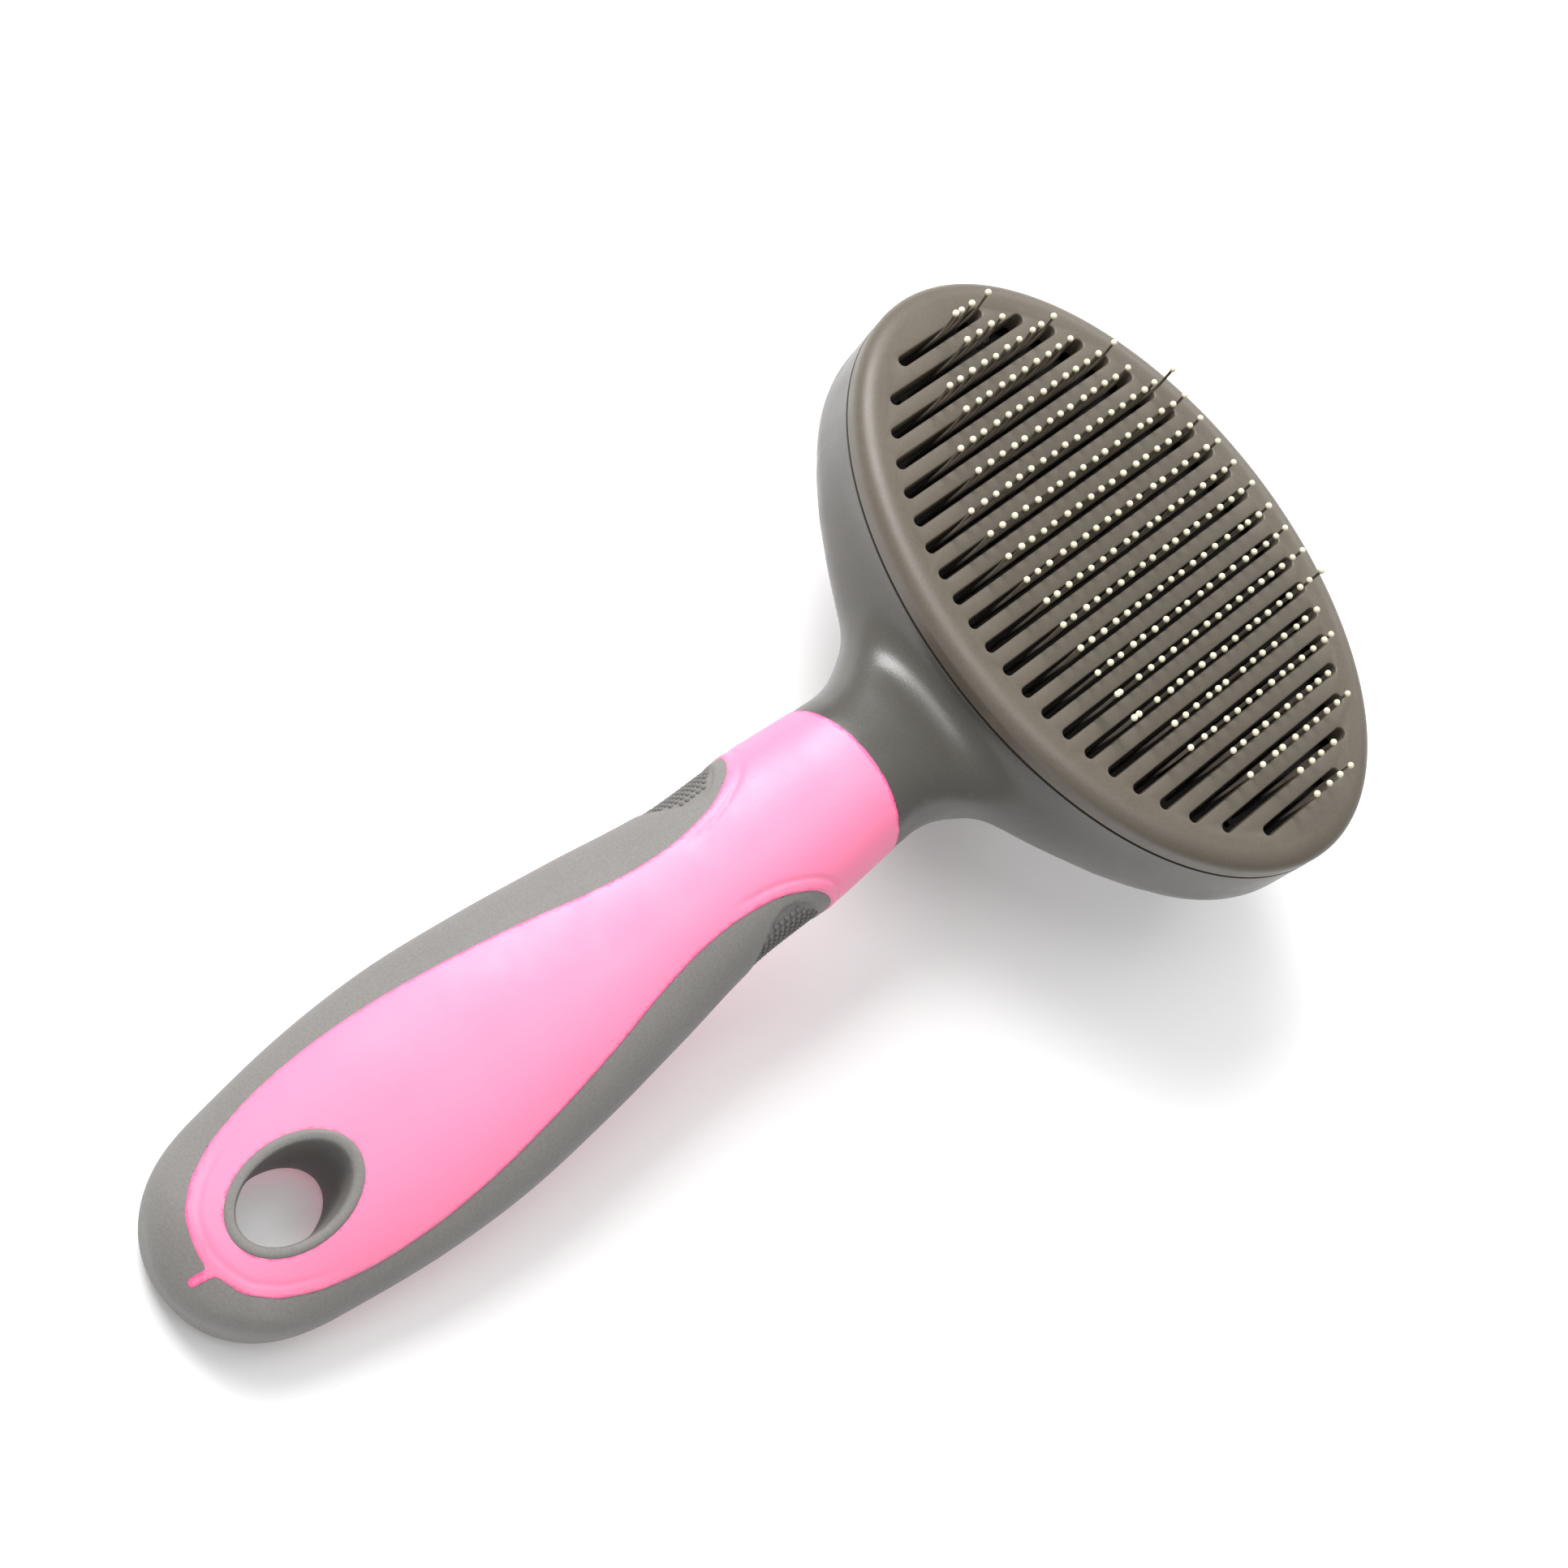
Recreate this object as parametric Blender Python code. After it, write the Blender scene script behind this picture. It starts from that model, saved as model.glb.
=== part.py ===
"""Self-cleaning slicker brush: an oval head of bent wire pins on a soft-grip handle.

Pressing the cap under the head pushes the slotted face plate out along the pins, which
strips the hair off them; a spring inside the hollow plunger brings it back.

Frame: +Z is the way the pins point, +Y runs from the end of the handle to the far side of
the head, and X runs across the head. The origin is under the middle of the brush, on the
surface that the cap and the end of the handle rest on. Units are metres.
"""

import math

import bmesh
import bpy
from mathutils import Matrix, Vector

MM = 0.001

# Overall
LENGTH = 200.0 * MM
HEAD_WIDTH = 104.6 * MM
HEAD_DEPTH = 66.0 * MM
HEAD_Y = LENGTH / 2 - HEAD_DEPTH / 2
GAP = 0.3 * MM  # clearance between pieces that touch or slide

# Heights of the stack, from the cap up to the pin tips
CAP_TOP = 5.5 * MM
TRAVEL = 8.5 * MM
COLLAR_Z = CAP_TOP + TRAVEL + 0.5 * MM
COLLAR_HEIGHT = 14.0 * MM
HOUSING_Z = COLLAR_Z + COLLAR_HEIGHT
HOUSING_HEIGHT = 19.9 * MM
RIM_Z = HOUSING_Z + HOUSING_HEIGHT
PLATE_Z = RIM_Z + 0.4 * MM
PLATE_THICKNESS = 4.5 * MM
FACE_Z = PLATE_Z + PLATE_THICKNESS
PIN_STANDOUT = 9.2 * MM
TIP_Z = FACE_Z + PIN_STANDOUT

# Housing
WALL = 2.5 * MM
BACK_ROUND = 10.0 * MM
FLOOR_Z = HOUSING_Z + WALL
COLLAR_TOP_R = 14.2 * MM
COLLAR_BASE_R = 15.2 * MM
NECK_END_Y = 17.3 * MM
# The neck, from the sleeve to inside the bowl: y, half width, top and underside
NECK_STATIONS = (
    (17.3, 12.6, 46.1, 25.6), (21, 12.4, 46.0, 26.2), (25, 13.0, 45.6, 27.0),
    (29, 15.0, 45.0, 27.8), (33, 18.0, 44.5, 28.6), (37, 22.5, 44.0, 29.0),
    (42, 25.0, 43.6, 29.4),
)
SOCKET_ROOM = 0.5 * MM
BOSS_X = 42.0 * MM
BOSS_Y = 11.0 * MM
BOSS_R = 2.8 * MM
BOSS_FOOT = 3.4 * MM  # above the back, so that the boss stays inside its rounded edge
SIDES = 48

# Plunger and cap: a round column with two flats, which keep it from turning in the collar
COLUMN_R = 11.0 * MM
FLAT_Y = 8.2 * MM
SPRING_BORE_R = 5.6 * MM
SPRING_FLOOR_Z = 12.0 * MM
FLANGE_R = 13.4 * MM
FLANGE_THICKNESS = 1.2 * MM
CAP_WIDTH = 28.0 * MM
CAP_DEPTH = 23.0 * MM
CAP_ROUND = 2.0 * MM
CAP_TOP_ROUND = 1.2 * MM
CAP_BOSS_HALF = (4.6 * MM, 4.8 * MM)
CAP_BOSS_TOP = 9.6 * MM
POCKET_HALF = (5.0 * MM, 5.2 * MM)
POCKET_TOP = 10.0 * MM
LATCH_WIDTH = 7.0 * MM
LATCH_Z = (6.8 * MM, 8.8 * MM)
BARB_REACH = 6.4 * MM
BARB_Z = (7.2 * MM, 8.4 * MM)

# Pusher, face plate and pins
PUSHER_Z = FLOOR_Z + GAP + FLANGE_THICKNESS + GAP
PUSHER_THICKNESS = 1.8 * MM
PUSHER_OVERHANG = 3.4 * MM  # past the legs
PUSHER_HALF_DEPTH = 13.0 * MM
WINDOW_X = 19.0 * MM
WINDOW_HALF = (5.0 * MM, 8.0 * MM)
SLOT_PITCH = 4.2 * MM
SLOT_WIDTH = 1.7 * MM
ROW_COUNT = 22
FIELD_HALF_WIDTH = 46.5 * MM
FIELD_HALF_DEPTH = 27.9 * MM
PLATE_ROUND = 2.2 * MM
LEG_X = 7 * SLOT_PITCH
LEG_Y = 9.0 * MM
LEG_WIDTH = 1.9 * MM
LEG_DEPTH = 6.0 * MM
TONGUE_HALF = (0.8 * MM, 2.0 * MM)
TONGUE_SLOT_HALF = (1.2 * MM, 2.4 * MM)
TONGUE_REACH = 1.1 * MM  # below the pusher
LEG_BARB_HALF_DEPTH = 2.8 * MM
LEG_WAY_HALF = (1.45 * MM, 3.5 * MM)
BASE_Z = 43.4 * MM
BASE_THICKNESS = 2.2 * MM
BASE_HALF_WIDTH = 47.6 * MM
BASE_HALF_DEPTH = 28.6 * MM
STRIP_HEIGHT = 1.0 * MM
STRIP_WIDTH = 1.2 * MM
WIRE = 0.5 * MM
PIN_SPACING = 2.55 * MM
PINS_IN_ROW = (4, 4, 10, 10, 14, 14, 18, 18, 18, 18, 18)  # from the outermost row inwards
PIN_CENTRE_SHIFT = 0.95 * MM
PIN_LEAN = 4.6 * MM
PIN_KNEE_Z = FACE_Z + 2.0 * MM
PIN_HOOK = 0.8 * MM

# Return spring
SPRING_R = 4.4 * MM
SPRING_WIRE_R = 0.4 * MM
SPRING_TURNS = 7
SPRING_POINTS = 9

# Screws
SCREW_R = 1.0 * MM
SCREW_HEAD_R = 1.9 * MM
SCREW_HEAD_HEIGHT = 1.2 * MM
RECESS_HALF = (1.1 * MM, 0.25 * MM)
RECESS_DEPTH = 0.6 * MM
BASE_SCREW_LENGTH = 9.0 * MM
PUSHER_SCREW_LENGTH = 8.0 * MM
PUSHER_SCREW_X = 8.2 * MM

# Handle: stations along Y with the half width and the half thickness there
HANDLE_END_Y = -LENGTH / 2
HANDLE_TILT = 0.245  # rise of the handle's centre line per length towards the head
HANDLE_END_AXIS_Z = 6.95 * MM
HANDLE_STATIONS = (
    (60, 12.6, 10.4), (17, 12.6, 10.4), (4, 13.7, 10.8), (-10, 14.0, 11.0), (-25, 16.4, 11.2),
    (-40, 18.6, 11.2), (-54, 19.9, 10.9), (-68, 19.5, 10.3), (-82, 17.6, 9.4), (-100, 14.2, 8.2),
)
END_ROUND = 16.0 * MM
EDGE_ROUND = 8.0 * MM
END_FLATTENING = 0.8
SECTION_POWER = 2.3
SECTION_SIDES = 24
SKIN = 2.4 * MM
FERRULE_Y = 17.0 * MM
SPIGOT_R = 6.5 * MM
SPIGOT_LENGTH = 9.0 * MM
HOLE_Y = -81.0 * MM
HOLE_HALF_WIDTH = 5.9 * MM
HOLE_HALF_DEPTH = 8.1 * MM
EYELET_WALL = 1.75 * MM
# Half width of the coloured panel on top and underneath, along Y
PANEL_STATIONS = (
    (4.5, 15.4), (2, 12.0), (-3, 8.9), (-10, 7.3), (-18, 7.3), (-26, 8.6), (-36, 11.0),
    (-48, 13.3), (-60, 14.8), (-70, 15.0), (-80, 13.8), (-87, 11.6), (-91.5, 8.7), (-94.0, 5.4),
    (-94.9, 2.6),
)

PLASTIC_GREY = (0.168, 0.157, 0.137)
PLATE_GREY = (0.150, 0.138, 0.118)
GRIP_GREY = (0.235, 0.230, 0.220)
PINK = (1.0, 0.235, 0.500)
STEEL = (0.45, 0.44, 0.42)
WIRE_STEEL = (0.16, 0.155, 0.15)


def clear_scene():
    for thing in list(bpy.data.objects):
        bpy.data.objects.remove(thing, do_unlink=True)


def new_collection(name, hidden=False):
    collection = bpy.data.collections.new(name)
    bpy.context.scene.collection.children.link(collection)
    collection.hide_render = hidden
    return collection


clear_scene()
PARTS = new_collection("slicker_brush")
CUTTERS = new_collection("cutters", hidden=True)


def make_material(name, colour, roughness, metallic=0.0):
    material = bpy.data.materials.new(name)
    material.use_nodes = True
    shader = material.node_tree.nodes["Principled BSDF"]
    shader.inputs["Base Color"].default_value = (*colour, 1.0)
    shader.inputs["Roughness"].default_value = roughness
    shader.inputs["Metallic"].default_value = metallic
    material.diffuse_color = (*colour, 1.0)
    return material


def add_object(name, bm, collection=CUTTERS, origin=(0, 0, 0)):
    """Turn world-space geometry into an object whose origin is at the given point."""
    bmesh.ops.recalc_face_normals(bm, faces=bm.faces)
    bm.transform(Matrix.Translation(-Vector(origin)))
    mesh = bpy.data.meshes.new(name)
    bm.to_mesh(mesh)
    bm.free()
    thing = bpy.data.objects.new(name, mesh)
    thing.location = origin
    collection.objects.link(thing)
    if collection is CUTTERS:
        thing.hide_render = True
        thing.display_type = "WIRE"
    return thing


def finish(thing, material):
    """Give a part its material and shade its rounded surfaces smooth."""
    thing.data.materials.clear()
    thing.data.materials.append(material)
    thing.data.shade_smooth()
    thing.data.set_sharp_from_angle(angle=math.radians(35))
    return thing


def boolean(thing, other, operation="DIFFERENCE"):
    modifier = thing.modifiers.new(other.name, "BOOLEAN")
    modifier.operation = operation
    modifier.object = other


def box(x0, x1, y0, y1, z0, z1):
    bm = bmesh.new()
    bmesh.ops.create_cube(bm, size=1.0)
    size = Matrix.Diagonal((x1 - x0, y1 - y0, z1 - z0, 1.0))
    middle = Vector(((x0 + x1) / 2, (y0 + y1) / 2, (z0 + z1) / 2))
    bm.transform(Matrix.Translation(middle) @ size)
    return bm


def oval(a, b, z0, z1, x=0.0, y=HEAD_Y, sides=SIDES, low=0.0, high=0.0, steps=4, a_top=None):
    """An elliptical disc or column; low and high round its lower and upper edges."""
    bm = bmesh.new()
    top = 1.0 if a_top is None else a_top / a
    bmesh.ops.create_cone(bm, cap_ends=True, segments=sides, radius1=1.0, radius2=top, depth=1.0)
    place = Matrix.Translation((x, y, (z0 + z1) / 2))
    bm.transform(place @ Matrix.Diagonal((a, b, z1 - z0, 1.0)))
    for width, z in ((low, z0), (high, z1)):
        if width:
            edges = [e for e in bm.edges if all(abs(v.co.z - z) < 1e-7 for v in e.verts)]
            bmesh.ops.bevel(bm, geom=edges, offset=width, segments=steps, profile=0.5,
                            affect="EDGES", clamp_overlap=True)
    return bm


def outline_prism(points, z0, z1):
    """A flat closed outline, filled and extruded straight up."""
    bm = bmesh.new()
    face = bm.faces.new([bm.verts.new((x, y, z0)) for x, y in points])
    made = bmesh.ops.extrude_face_region(bm, geom=[face])
    top = [v for v in made["geom"] if isinstance(v, bmesh.types.BMVert)]
    bmesh.ops.translate(bm, vec=(0, 0, z1 - z0), verts=top)
    return bm


def loft(rings):
    """A closed skin through rings that have the same number of points."""
    bm = bmesh.new()
    loops = [[bm.verts.new(point) for point in ring] for ring in rings]
    count = len(rings[0])
    for lower, upper in zip(loops, loops[1:]):
        for i in range(count):
            j = (i + 1) % count
            bm.faces.new((lower[i], lower[j], upper[j], upper[i]))
    bm.faces.new(loops[0])
    bm.faces.new(loops[-1])
    return bm


def between(stations, y, column):
    """Read a table of stations at y, on a smooth curve through its points."""
    ys = [station[0] * MM for station in stations]
    values = [station[column] * MM for station in stations]
    if y >= ys[0]:
        return values[0]
    if y <= ys[-1]:
        return values[-1]
    i = next(k for k in range(len(ys) - 1) if ys[k + 1] <= y)
    before, after = max(i - 1, 0), min(i + 2, len(ys) - 1)
    step = ys[i + 1] - ys[i]
    t = (y - ys[i]) / step
    slope_in = (values[i + 1] - values[before]) / (ys[i + 1] - ys[before]) * step
    slope_out = (values[after] - values[i]) / (ys[after] - ys[i]) * step
    return ((2 * t**3 - 3 * t**2 + 1) * values[i] + (t**3 - 2 * t**2 + t) * slope_in
            + (3 * t**2 - 2 * t**3) * values[i + 1] + (t**3 - t**2) * slope_out)


def handle_axis(y):
    return HANDLE_END_AXIS_Z + HANDLE_TILT * (y - HANDLE_END_Y)


def handle_ring(y, inset=0.0):
    """One section of the handle, with its end rounded in plan and from the side."""
    end = HANDLE_END_Y + inset
    plan = max(0.0, 1 - min(1.0, (y - end) / END_ROUND)) ** 2
    side = max(0.0, 1 - min(1.0, (y - end) / EDGE_ROUND)) ** 2
    width = (between(HANDLE_STATIONS, y, 1) - inset) * math.sqrt(1 - plan)
    thick = (between(HANDLE_STATIONS, y, 2) - inset) * math.sqrt(1 - side * END_FLATTENING)
    ring = []
    for k in range(SECTION_SIDES):
        angle = 2 * math.pi * k / SECTION_SIDES
        c, s = math.cos(angle), math.sin(angle)
        x = width * math.copysign(abs(c) ** (2 / SECTION_POWER), c)
        z = thick * math.copysign(abs(s) ** (2 / SECTION_POWER), s)
        ring.append((x, y, handle_axis(y) + z))
    return ring


def handle_loft(start_y, inset=0.0):
    """The handle's outer form, or one that lies inset inside it, from start_y to its end."""
    end = HANDLE_END_Y + inset
    straight = [start_y + (end + END_ROUND - start_y) * k / 10 for k in range(10)]
    curved = [end + END_ROUND * (1 - math.sin(math.pi / 2 * k / 7)) for k in range(7)]
    return loft([handle_ring(y, inset) for y in straight + curved + [end + 0.03 * MM]])


def panel_outline(grow=0.0):
    """Plan outline of the coloured sleeve: the full width at the ferrule, then the panel."""
    right = [(25 * MM, FERRULE_Y + 5 * MM), (25 * MM, PANEL_STATIONS[0][0] * MM - grow)]
    right += [(width * MM + grow, y * MM - grow * (y < -85)) for y, width in PANEL_STATIONS]
    return right + [(-x, y) for x, y in reversed(right)]


def plunger_section(z0, z1, grow=0.0):
    """The column's D-shaped section: a circle cut by two flats."""
    column = add_object("column", oval(COLUMN_R + grow, COLUMN_R + grow, z0, z1, sides=48))
    slab_y = FLAT_Y + grow
    slab = box(-20 * MM, 20 * MM, HEAD_Y - slab_y, HEAD_Y + slab_y, z0 - MM, z1 + MM)
    boolean(column, add_object("flats", slab), "INTERSECT")
    return column


def row_x(row):
    return (row - (ROW_COUNT - 1) / 2) * SLOT_PITCH


def slot_half_length(row):
    return FIELD_HALF_DEPTH * math.sqrt(1 - (row_x(row) / FIELD_HALF_WIDTH) ** 2)


def make_housing(material):
    """Bowl, collar and neck, moulded in one piece, with four screw bosses inside."""
    a, b = HEAD_WIDTH / 2, HEAD_DEPTH / 2
    bowl = oval(a, b, HOUSING_Z, RIM_Z, low=BACK_ROUND)
    housing = add_object("head_housing", bowl, PARTS, (0, HEAD_Y, HOUSING_Z))
    collar = oval(COLLAR_TOP_R, COLLAR_TOP_R, COLLAR_Z, HOUSING_Z + MM, low=0.9 * MM,
                  sides=48, steps=2, a_top=COLLAR_BASE_R)
    boolean(housing, add_object("collar", collar), "UNION")
    boolean(housing, add_object("neck", neck_loft()), "UNION")
    cavity = oval(a - WALL, b - WALL, FLOOR_Z, RIM_Z + 5 * MM, low=BACK_ROUND - WALL, steps=3)
    boolean(housing, add_object("cavity", cavity))
    for n, (x, y) in enumerate(boss_places()):
        boss = oval(BOSS_R, BOSS_R, HOUSING_Z + BOSS_FOOT, BASE_Z - GAP, x, y, sides=16)
        boolean(housing, add_object(f"boss_{n}", boss), "UNION")
        pilot = oval(SCREW_R + GAP, SCREW_R + GAP, FLOOR_Z + MM, BASE_Z + MM, x, y, sides=12)
        boolean(housing, add_object(f"boss_pilot_{n}", pilot))
    bore = plunger_section(COLLAR_Z - 3 * MM, FLOOR_Z + 3 * MM, GAP)
    boolean(housing, bore)
    socket = oval(SPIGOT_R + GAP, SPIGOT_R + GAP, 0, SPIGOT_LENGTH + MM, y=0, sides=24)
    boolean(housing, place_along_handle(socket, NECK_END_Y - SOCKET_ROOM, "neck_socket"))
    return finish(housing, material)


def neck_loft():
    """The neck flares sideways out of the bowl and ends flat against the sleeve."""
    rings = []
    for y, width, top, bottom in NECK_STATIONS:
        ring = []
        for k in range(SECTION_SIDES):
            angle = 2 * math.pi * k / SECTION_SIDES
            c, s = math.cos(angle), math.sin(angle)
            x = width * MM * math.copysign(abs(c) ** (2 / SECTION_POWER), c)
            z = (top - bottom) / 2 * MM * math.copysign(abs(s) ** (2 / SECTION_POWER), s)
            ring.append((x, y * MM, (top + bottom) / 2 * MM + z))
        rings.append(ring)
    return loft(rings)


def boss_places():
    return [(sx * BOSS_X, HEAD_Y + sy * BOSS_Y) for sx in (-1, 1) for sy in (-1, 1)]


def place_along_handle(bm, y, name):
    """Lay a column made at the origin along the handle's centre line, towards the head."""
    turn = Matrix.Rotation(-math.pi / 2, 4, "X")
    bm.transform(Matrix.Translation((0, y, handle_axis(y))) @ turn)
    return add_object(name, bm)


def make_handle(core_material, sleeve_material, band_material):
    """A stiff core, and the two soft rubbers moulded over it: a sleeve and a side band."""
    core = add_object("handle_core", handle_loft(FERRULE_Y, SKIN), PARTS,
                      (0, FERRULE_Y, handle_axis(FERRULE_Y)))
    spigot = oval(SPIGOT_R, SPIGOT_R, 0, SPIGOT_LENGTH + MM, y=0, sides=24)
    boolean(core, place_along_handle(spigot, FERRULE_Y - MM, "spigot"), "UNION")
    hollow = add_object("skin_inside", handle_loft(FERRULE_Y + 2 * MM, SKIN - GAP))
    top_z = 60 * MM
    panel = add_object("panel", outline_prism(panel_outline(), -top_z, top_z))
    panel_room = add_object("panel_room", outline_prism(panel_outline(GAP), -top_z, top_z))
    eyelet_a, eyelet_b = HOLE_HALF_WIDTH + EYELET_WALL, HOLE_HALF_DEPTH + EYELET_WALL
    eyelet_room = add_object("eyelet_room", oval(eyelet_a + GAP, eyelet_b + GAP, -top_z, top_z,
                                                 y=HOLE_Y, sides=32))
    sleeve = add_object("pink_sleeve", handle_loft(FERRULE_Y), PARTS, (0, FERRULE_Y, 0))
    boolean(sleeve, hollow)
    boolean(sleeve, panel, "INTERSECT")
    band = add_object("grip_band", handle_loft(FERRULE_Y), PARTS, (0, FERRULE_Y, 0))
    boolean(band, hollow)
    boolean(band, panel_room)
    for piece in (core, sleeve):
        boolean(piece, eyelet_room)
    eyelet = add_object("hang_eyelet", oval(eyelet_a, eyelet_b, -2 * MM, 30 * MM, y=HOLE_Y,
                                            sides=32), PARTS, (0, HOLE_Y, 0))
    boolean(eyelet, add_object("handle_form", handle_loft(FERRULE_Y)), "INTERSECT")
    hole = oval(HOLE_HALF_WIDTH, HOLE_HALF_DEPTH, -top_z, top_z, y=HOLE_Y, sides=32)
    boolean(eyelet, add_object("hang_hole", hole))
    finish(core, core_material)
    finish(sleeve, sleeve_material)
    finish(band, band_material)
    finish(eyelet, band_material)


def make_cap(material):
    """The thumb button: a rounded oval with a boss that latches in the plunger."""
    cap = add_object("button_cap", oval(CAP_WIDTH / 2, CAP_DEPTH / 2, 0, CAP_TOP, low=CAP_ROUND,
                                        high=CAP_TOP_ROUND, sides=36, steps=2),
                     PARTS, (0, HEAD_Y, 0))
    half_x, half_y = CAP_BOSS_HALF
    boss = box(-half_x, half_x, HEAD_Y - half_y, HEAD_Y + half_y, CAP_TOP / 2, CAP_BOSS_TOP)
    boolean(cap, add_object("cap_boss", boss), "UNION")
    latch = LATCH_WIDTH / 2 - GAP
    barb = box(-latch, latch, HEAD_Y - BARB_REACH, HEAD_Y + BARB_REACH, *BARB_Z)
    boolean(cap, add_object("cap_barbs", barb), "UNION")
    return finish(cap, material)


def make_plunger(material):
    """Hollow D-section column with a flange that stops it on the housing's floor."""
    top = FLOOR_Z + GAP + FLANGE_THICKNESS
    plunger = plunger_section(CAP_TOP + GAP, top)
    plunger.name = "plunger"
    CUTTERS.objects.unlink(plunger)
    PARTS.objects.link(plunger)
    plunger.hide_render = False
    plunger.display_type = "TEXTURED"
    flange = oval(FLANGE_R, FLANGE_R, FLOOR_Z + GAP, top, sides=48)
    boolean(plunger, add_object("flange", flange), "UNION")
    bore = oval(SPRING_BORE_R, SPRING_BORE_R, SPRING_FLOOR_Z, top + MM, sides=32)
    boolean(plunger, add_object("spring_bore", bore))
    half_x, half_y = POCKET_HALF
    pocket = box(-half_x, half_x, HEAD_Y - half_y, HEAD_Y + half_y, CAP_TOP - MM, POCKET_TOP)
    boolean(plunger, add_object("latch_pocket", pocket))
    window = box(-LATCH_WIDTH / 2, LATCH_WIDTH / 2, HEAD_Y - COLUMN_R, HEAD_Y + COLUMN_R,
                 *LATCH_Z)
    boolean(plunger, add_object("latch_window", window))
    for side in (-1, 1):
        pilot = oval(SCREW_R + GAP, SCREW_R + GAP, top - PUSHER_SCREW_LENGTH, top + MM,
                     x=side * PUSHER_SCREW_X, sides=12)
        boolean(plunger, add_object(f"plunger_pilot_{side}", pilot))
    return finish(plunger, material)


def make_pusher(material):
    """The bar across the inside of the head that carries the face plate's four legs."""
    top = PUSHER_Z + PUSHER_THICKNESS
    reach, half_depth = LEG_X + PUSHER_OVERHANG, PUSHER_HALF_DEPTH
    bm = box(-reach, reach, HEAD_Y - half_depth, HEAD_Y + half_depth, PUSHER_Z, top)
    pusher = add_object("pusher", bm, PARTS, (0, HEAD_Y, PUSHER_Z))
    ring = oval(SPRING_BORE_R, SPRING_BORE_R, PUSHER_Z - MM, top + MM, sides=32)
    boolean(pusher, add_object("spring_way", ring))
    for side in (-1, 1):
        x = side * PUSHER_SCREW_X
        hole = oval(SCREW_R + GAP, SCREW_R + GAP, PUSHER_Z - MM, top + MM, x, sides=12)
        boolean(pusher, add_object(f"pusher_hole_{side}", hole))
        pocket_z = top - SCREW_HEAD_HEIGHT
        pocket = oval(SCREW_HEAD_R + GAP, SCREW_HEAD_R + GAP, pocket_z, top + MM, x, sides=16)
        boolean(pusher, add_object(f"pusher_pocket_{side}", pocket))
        window_x, (half_x, half_y) = side * WINDOW_X, WINDOW_HALF
        window = box(window_x - half_x, window_x + half_x, HEAD_Y - half_y, HEAD_Y + half_y,
                     PUSHER_Z - MM, top + MM)
        boolean(pusher, add_object(f"pusher_window_{side}", window))
    half_x, half_y = TONGUE_SLOT_HALF
    for n, (x, y) in enumerate(leg_places()):
        slot = box(x - half_x, x + half_x, y - half_y, y + half_y, PUSHER_Z - MM, top + MM)
        boolean(pusher, add_object(f"leg_slot_{n}", slot))
    return finish(pusher, material)


def leg_places():
    return [(sx * LEG_X, HEAD_Y + sy * LEG_Y) for sx in (-1, 1) for sy in (-1, 1)]


def make_face_plate(material):
    """The slotted oval plate, with four legs that snap through the pusher."""
    plate = add_object("face_plate", oval(HEAD_WIDTH / 2, HEAD_DEPTH / 2, PLATE_Z, FACE_Z,
                                          high=PLATE_ROUND, steps=3),
                       PARTS, (0, HEAD_Y, PLATE_Z))
    leg_x, leg_y = LEG_WIDTH / 2, LEG_DEPTH / 2
    half_x, half_y = TONGUE_HALF
    foot_z = PUSHER_Z - TONGUE_REACH
    for n, (x, y) in enumerate(leg_places()):
        leg = box(x - leg_x, x + leg_x, y - leg_y, y + leg_y,
                  PUSHER_Z + PUSHER_THICKNESS + GAP, PLATE_Z + MM)
        boolean(plate, add_object(f"leg_{n}", leg), "UNION")
        tongue = box(x - half_x, x + half_x, y - half_y, y + half_y,
                     foot_z, PUSHER_Z + PUSHER_THICKNESS + MM)
        boolean(plate, add_object(f"tongue_{n}", tongue), "UNION")
        barb = box(x - half_x, x + half_x, y - LEG_BARB_HALF_DEPTH, y + LEG_BARB_HALF_DEPTH,
                   foot_z, PUSHER_Z - GAP)
        boolean(plate, add_object(f"leg_barb_{n}", barb), "UNION")
    for row in range(ROW_COUNT):
        boolean(plate, add_object(f"slot_{row}", slot_cutter(row)))
    return finish(plate, material)


def slot_cutter(row):
    """A straight slot with round ends."""
    x, half, r = row_x(row), slot_half_length(row), SLOT_WIDTH / 2
    points = []
    for end in (1, -1):
        for k in range(5):
            angle = math.pi * k / 4
            points.append((x + end * r * math.cos(angle),
                           HEAD_Y + end * (half - r + r * math.sin(angle))))
    return outline_prism(points, PLATE_Z - MM, FACE_Z + MM)


def make_pin_base(material):
    """The fixed plate that the pins stand on, screwed to the housing's bosses."""
    top = BASE_Z + BASE_THICKNESS
    base = add_object("pin_base", oval(BASE_HALF_WIDTH, BASE_HALF_DEPTH, BASE_Z, top),
                      PARTS, (0, HEAD_Y, BASE_Z))
    half_x, half_y = LEG_WAY_HALF
    for n, (x, y) in enumerate(leg_places()):
        way = box(x - half_x, x + half_x, y - half_y, y + half_y, BASE_Z - MM, top + MM)
        boolean(base, add_object(f"leg_way_{n}", way))
    for n, (x, y) in enumerate(boss_places()):
        hole = oval(SCREW_R + GAP, SCREW_R + GAP, BASE_Z - MM, top + MM, x, y, sides=12)
        boolean(base, add_object(f"base_hole_{n}", hole))
    return finish(base, material)


def pin_places(row):
    """Where the tips of a row's pins stand along Y."""
    count = PINS_IN_ROW[min(row, ROW_COUNT - 1 - row)]
    middle = HEAD_Y + PIN_CENTRE_SHIFT
    return [middle + (k - (count - 1) / 2) * PIN_SPACING for k in range(count)]


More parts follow.
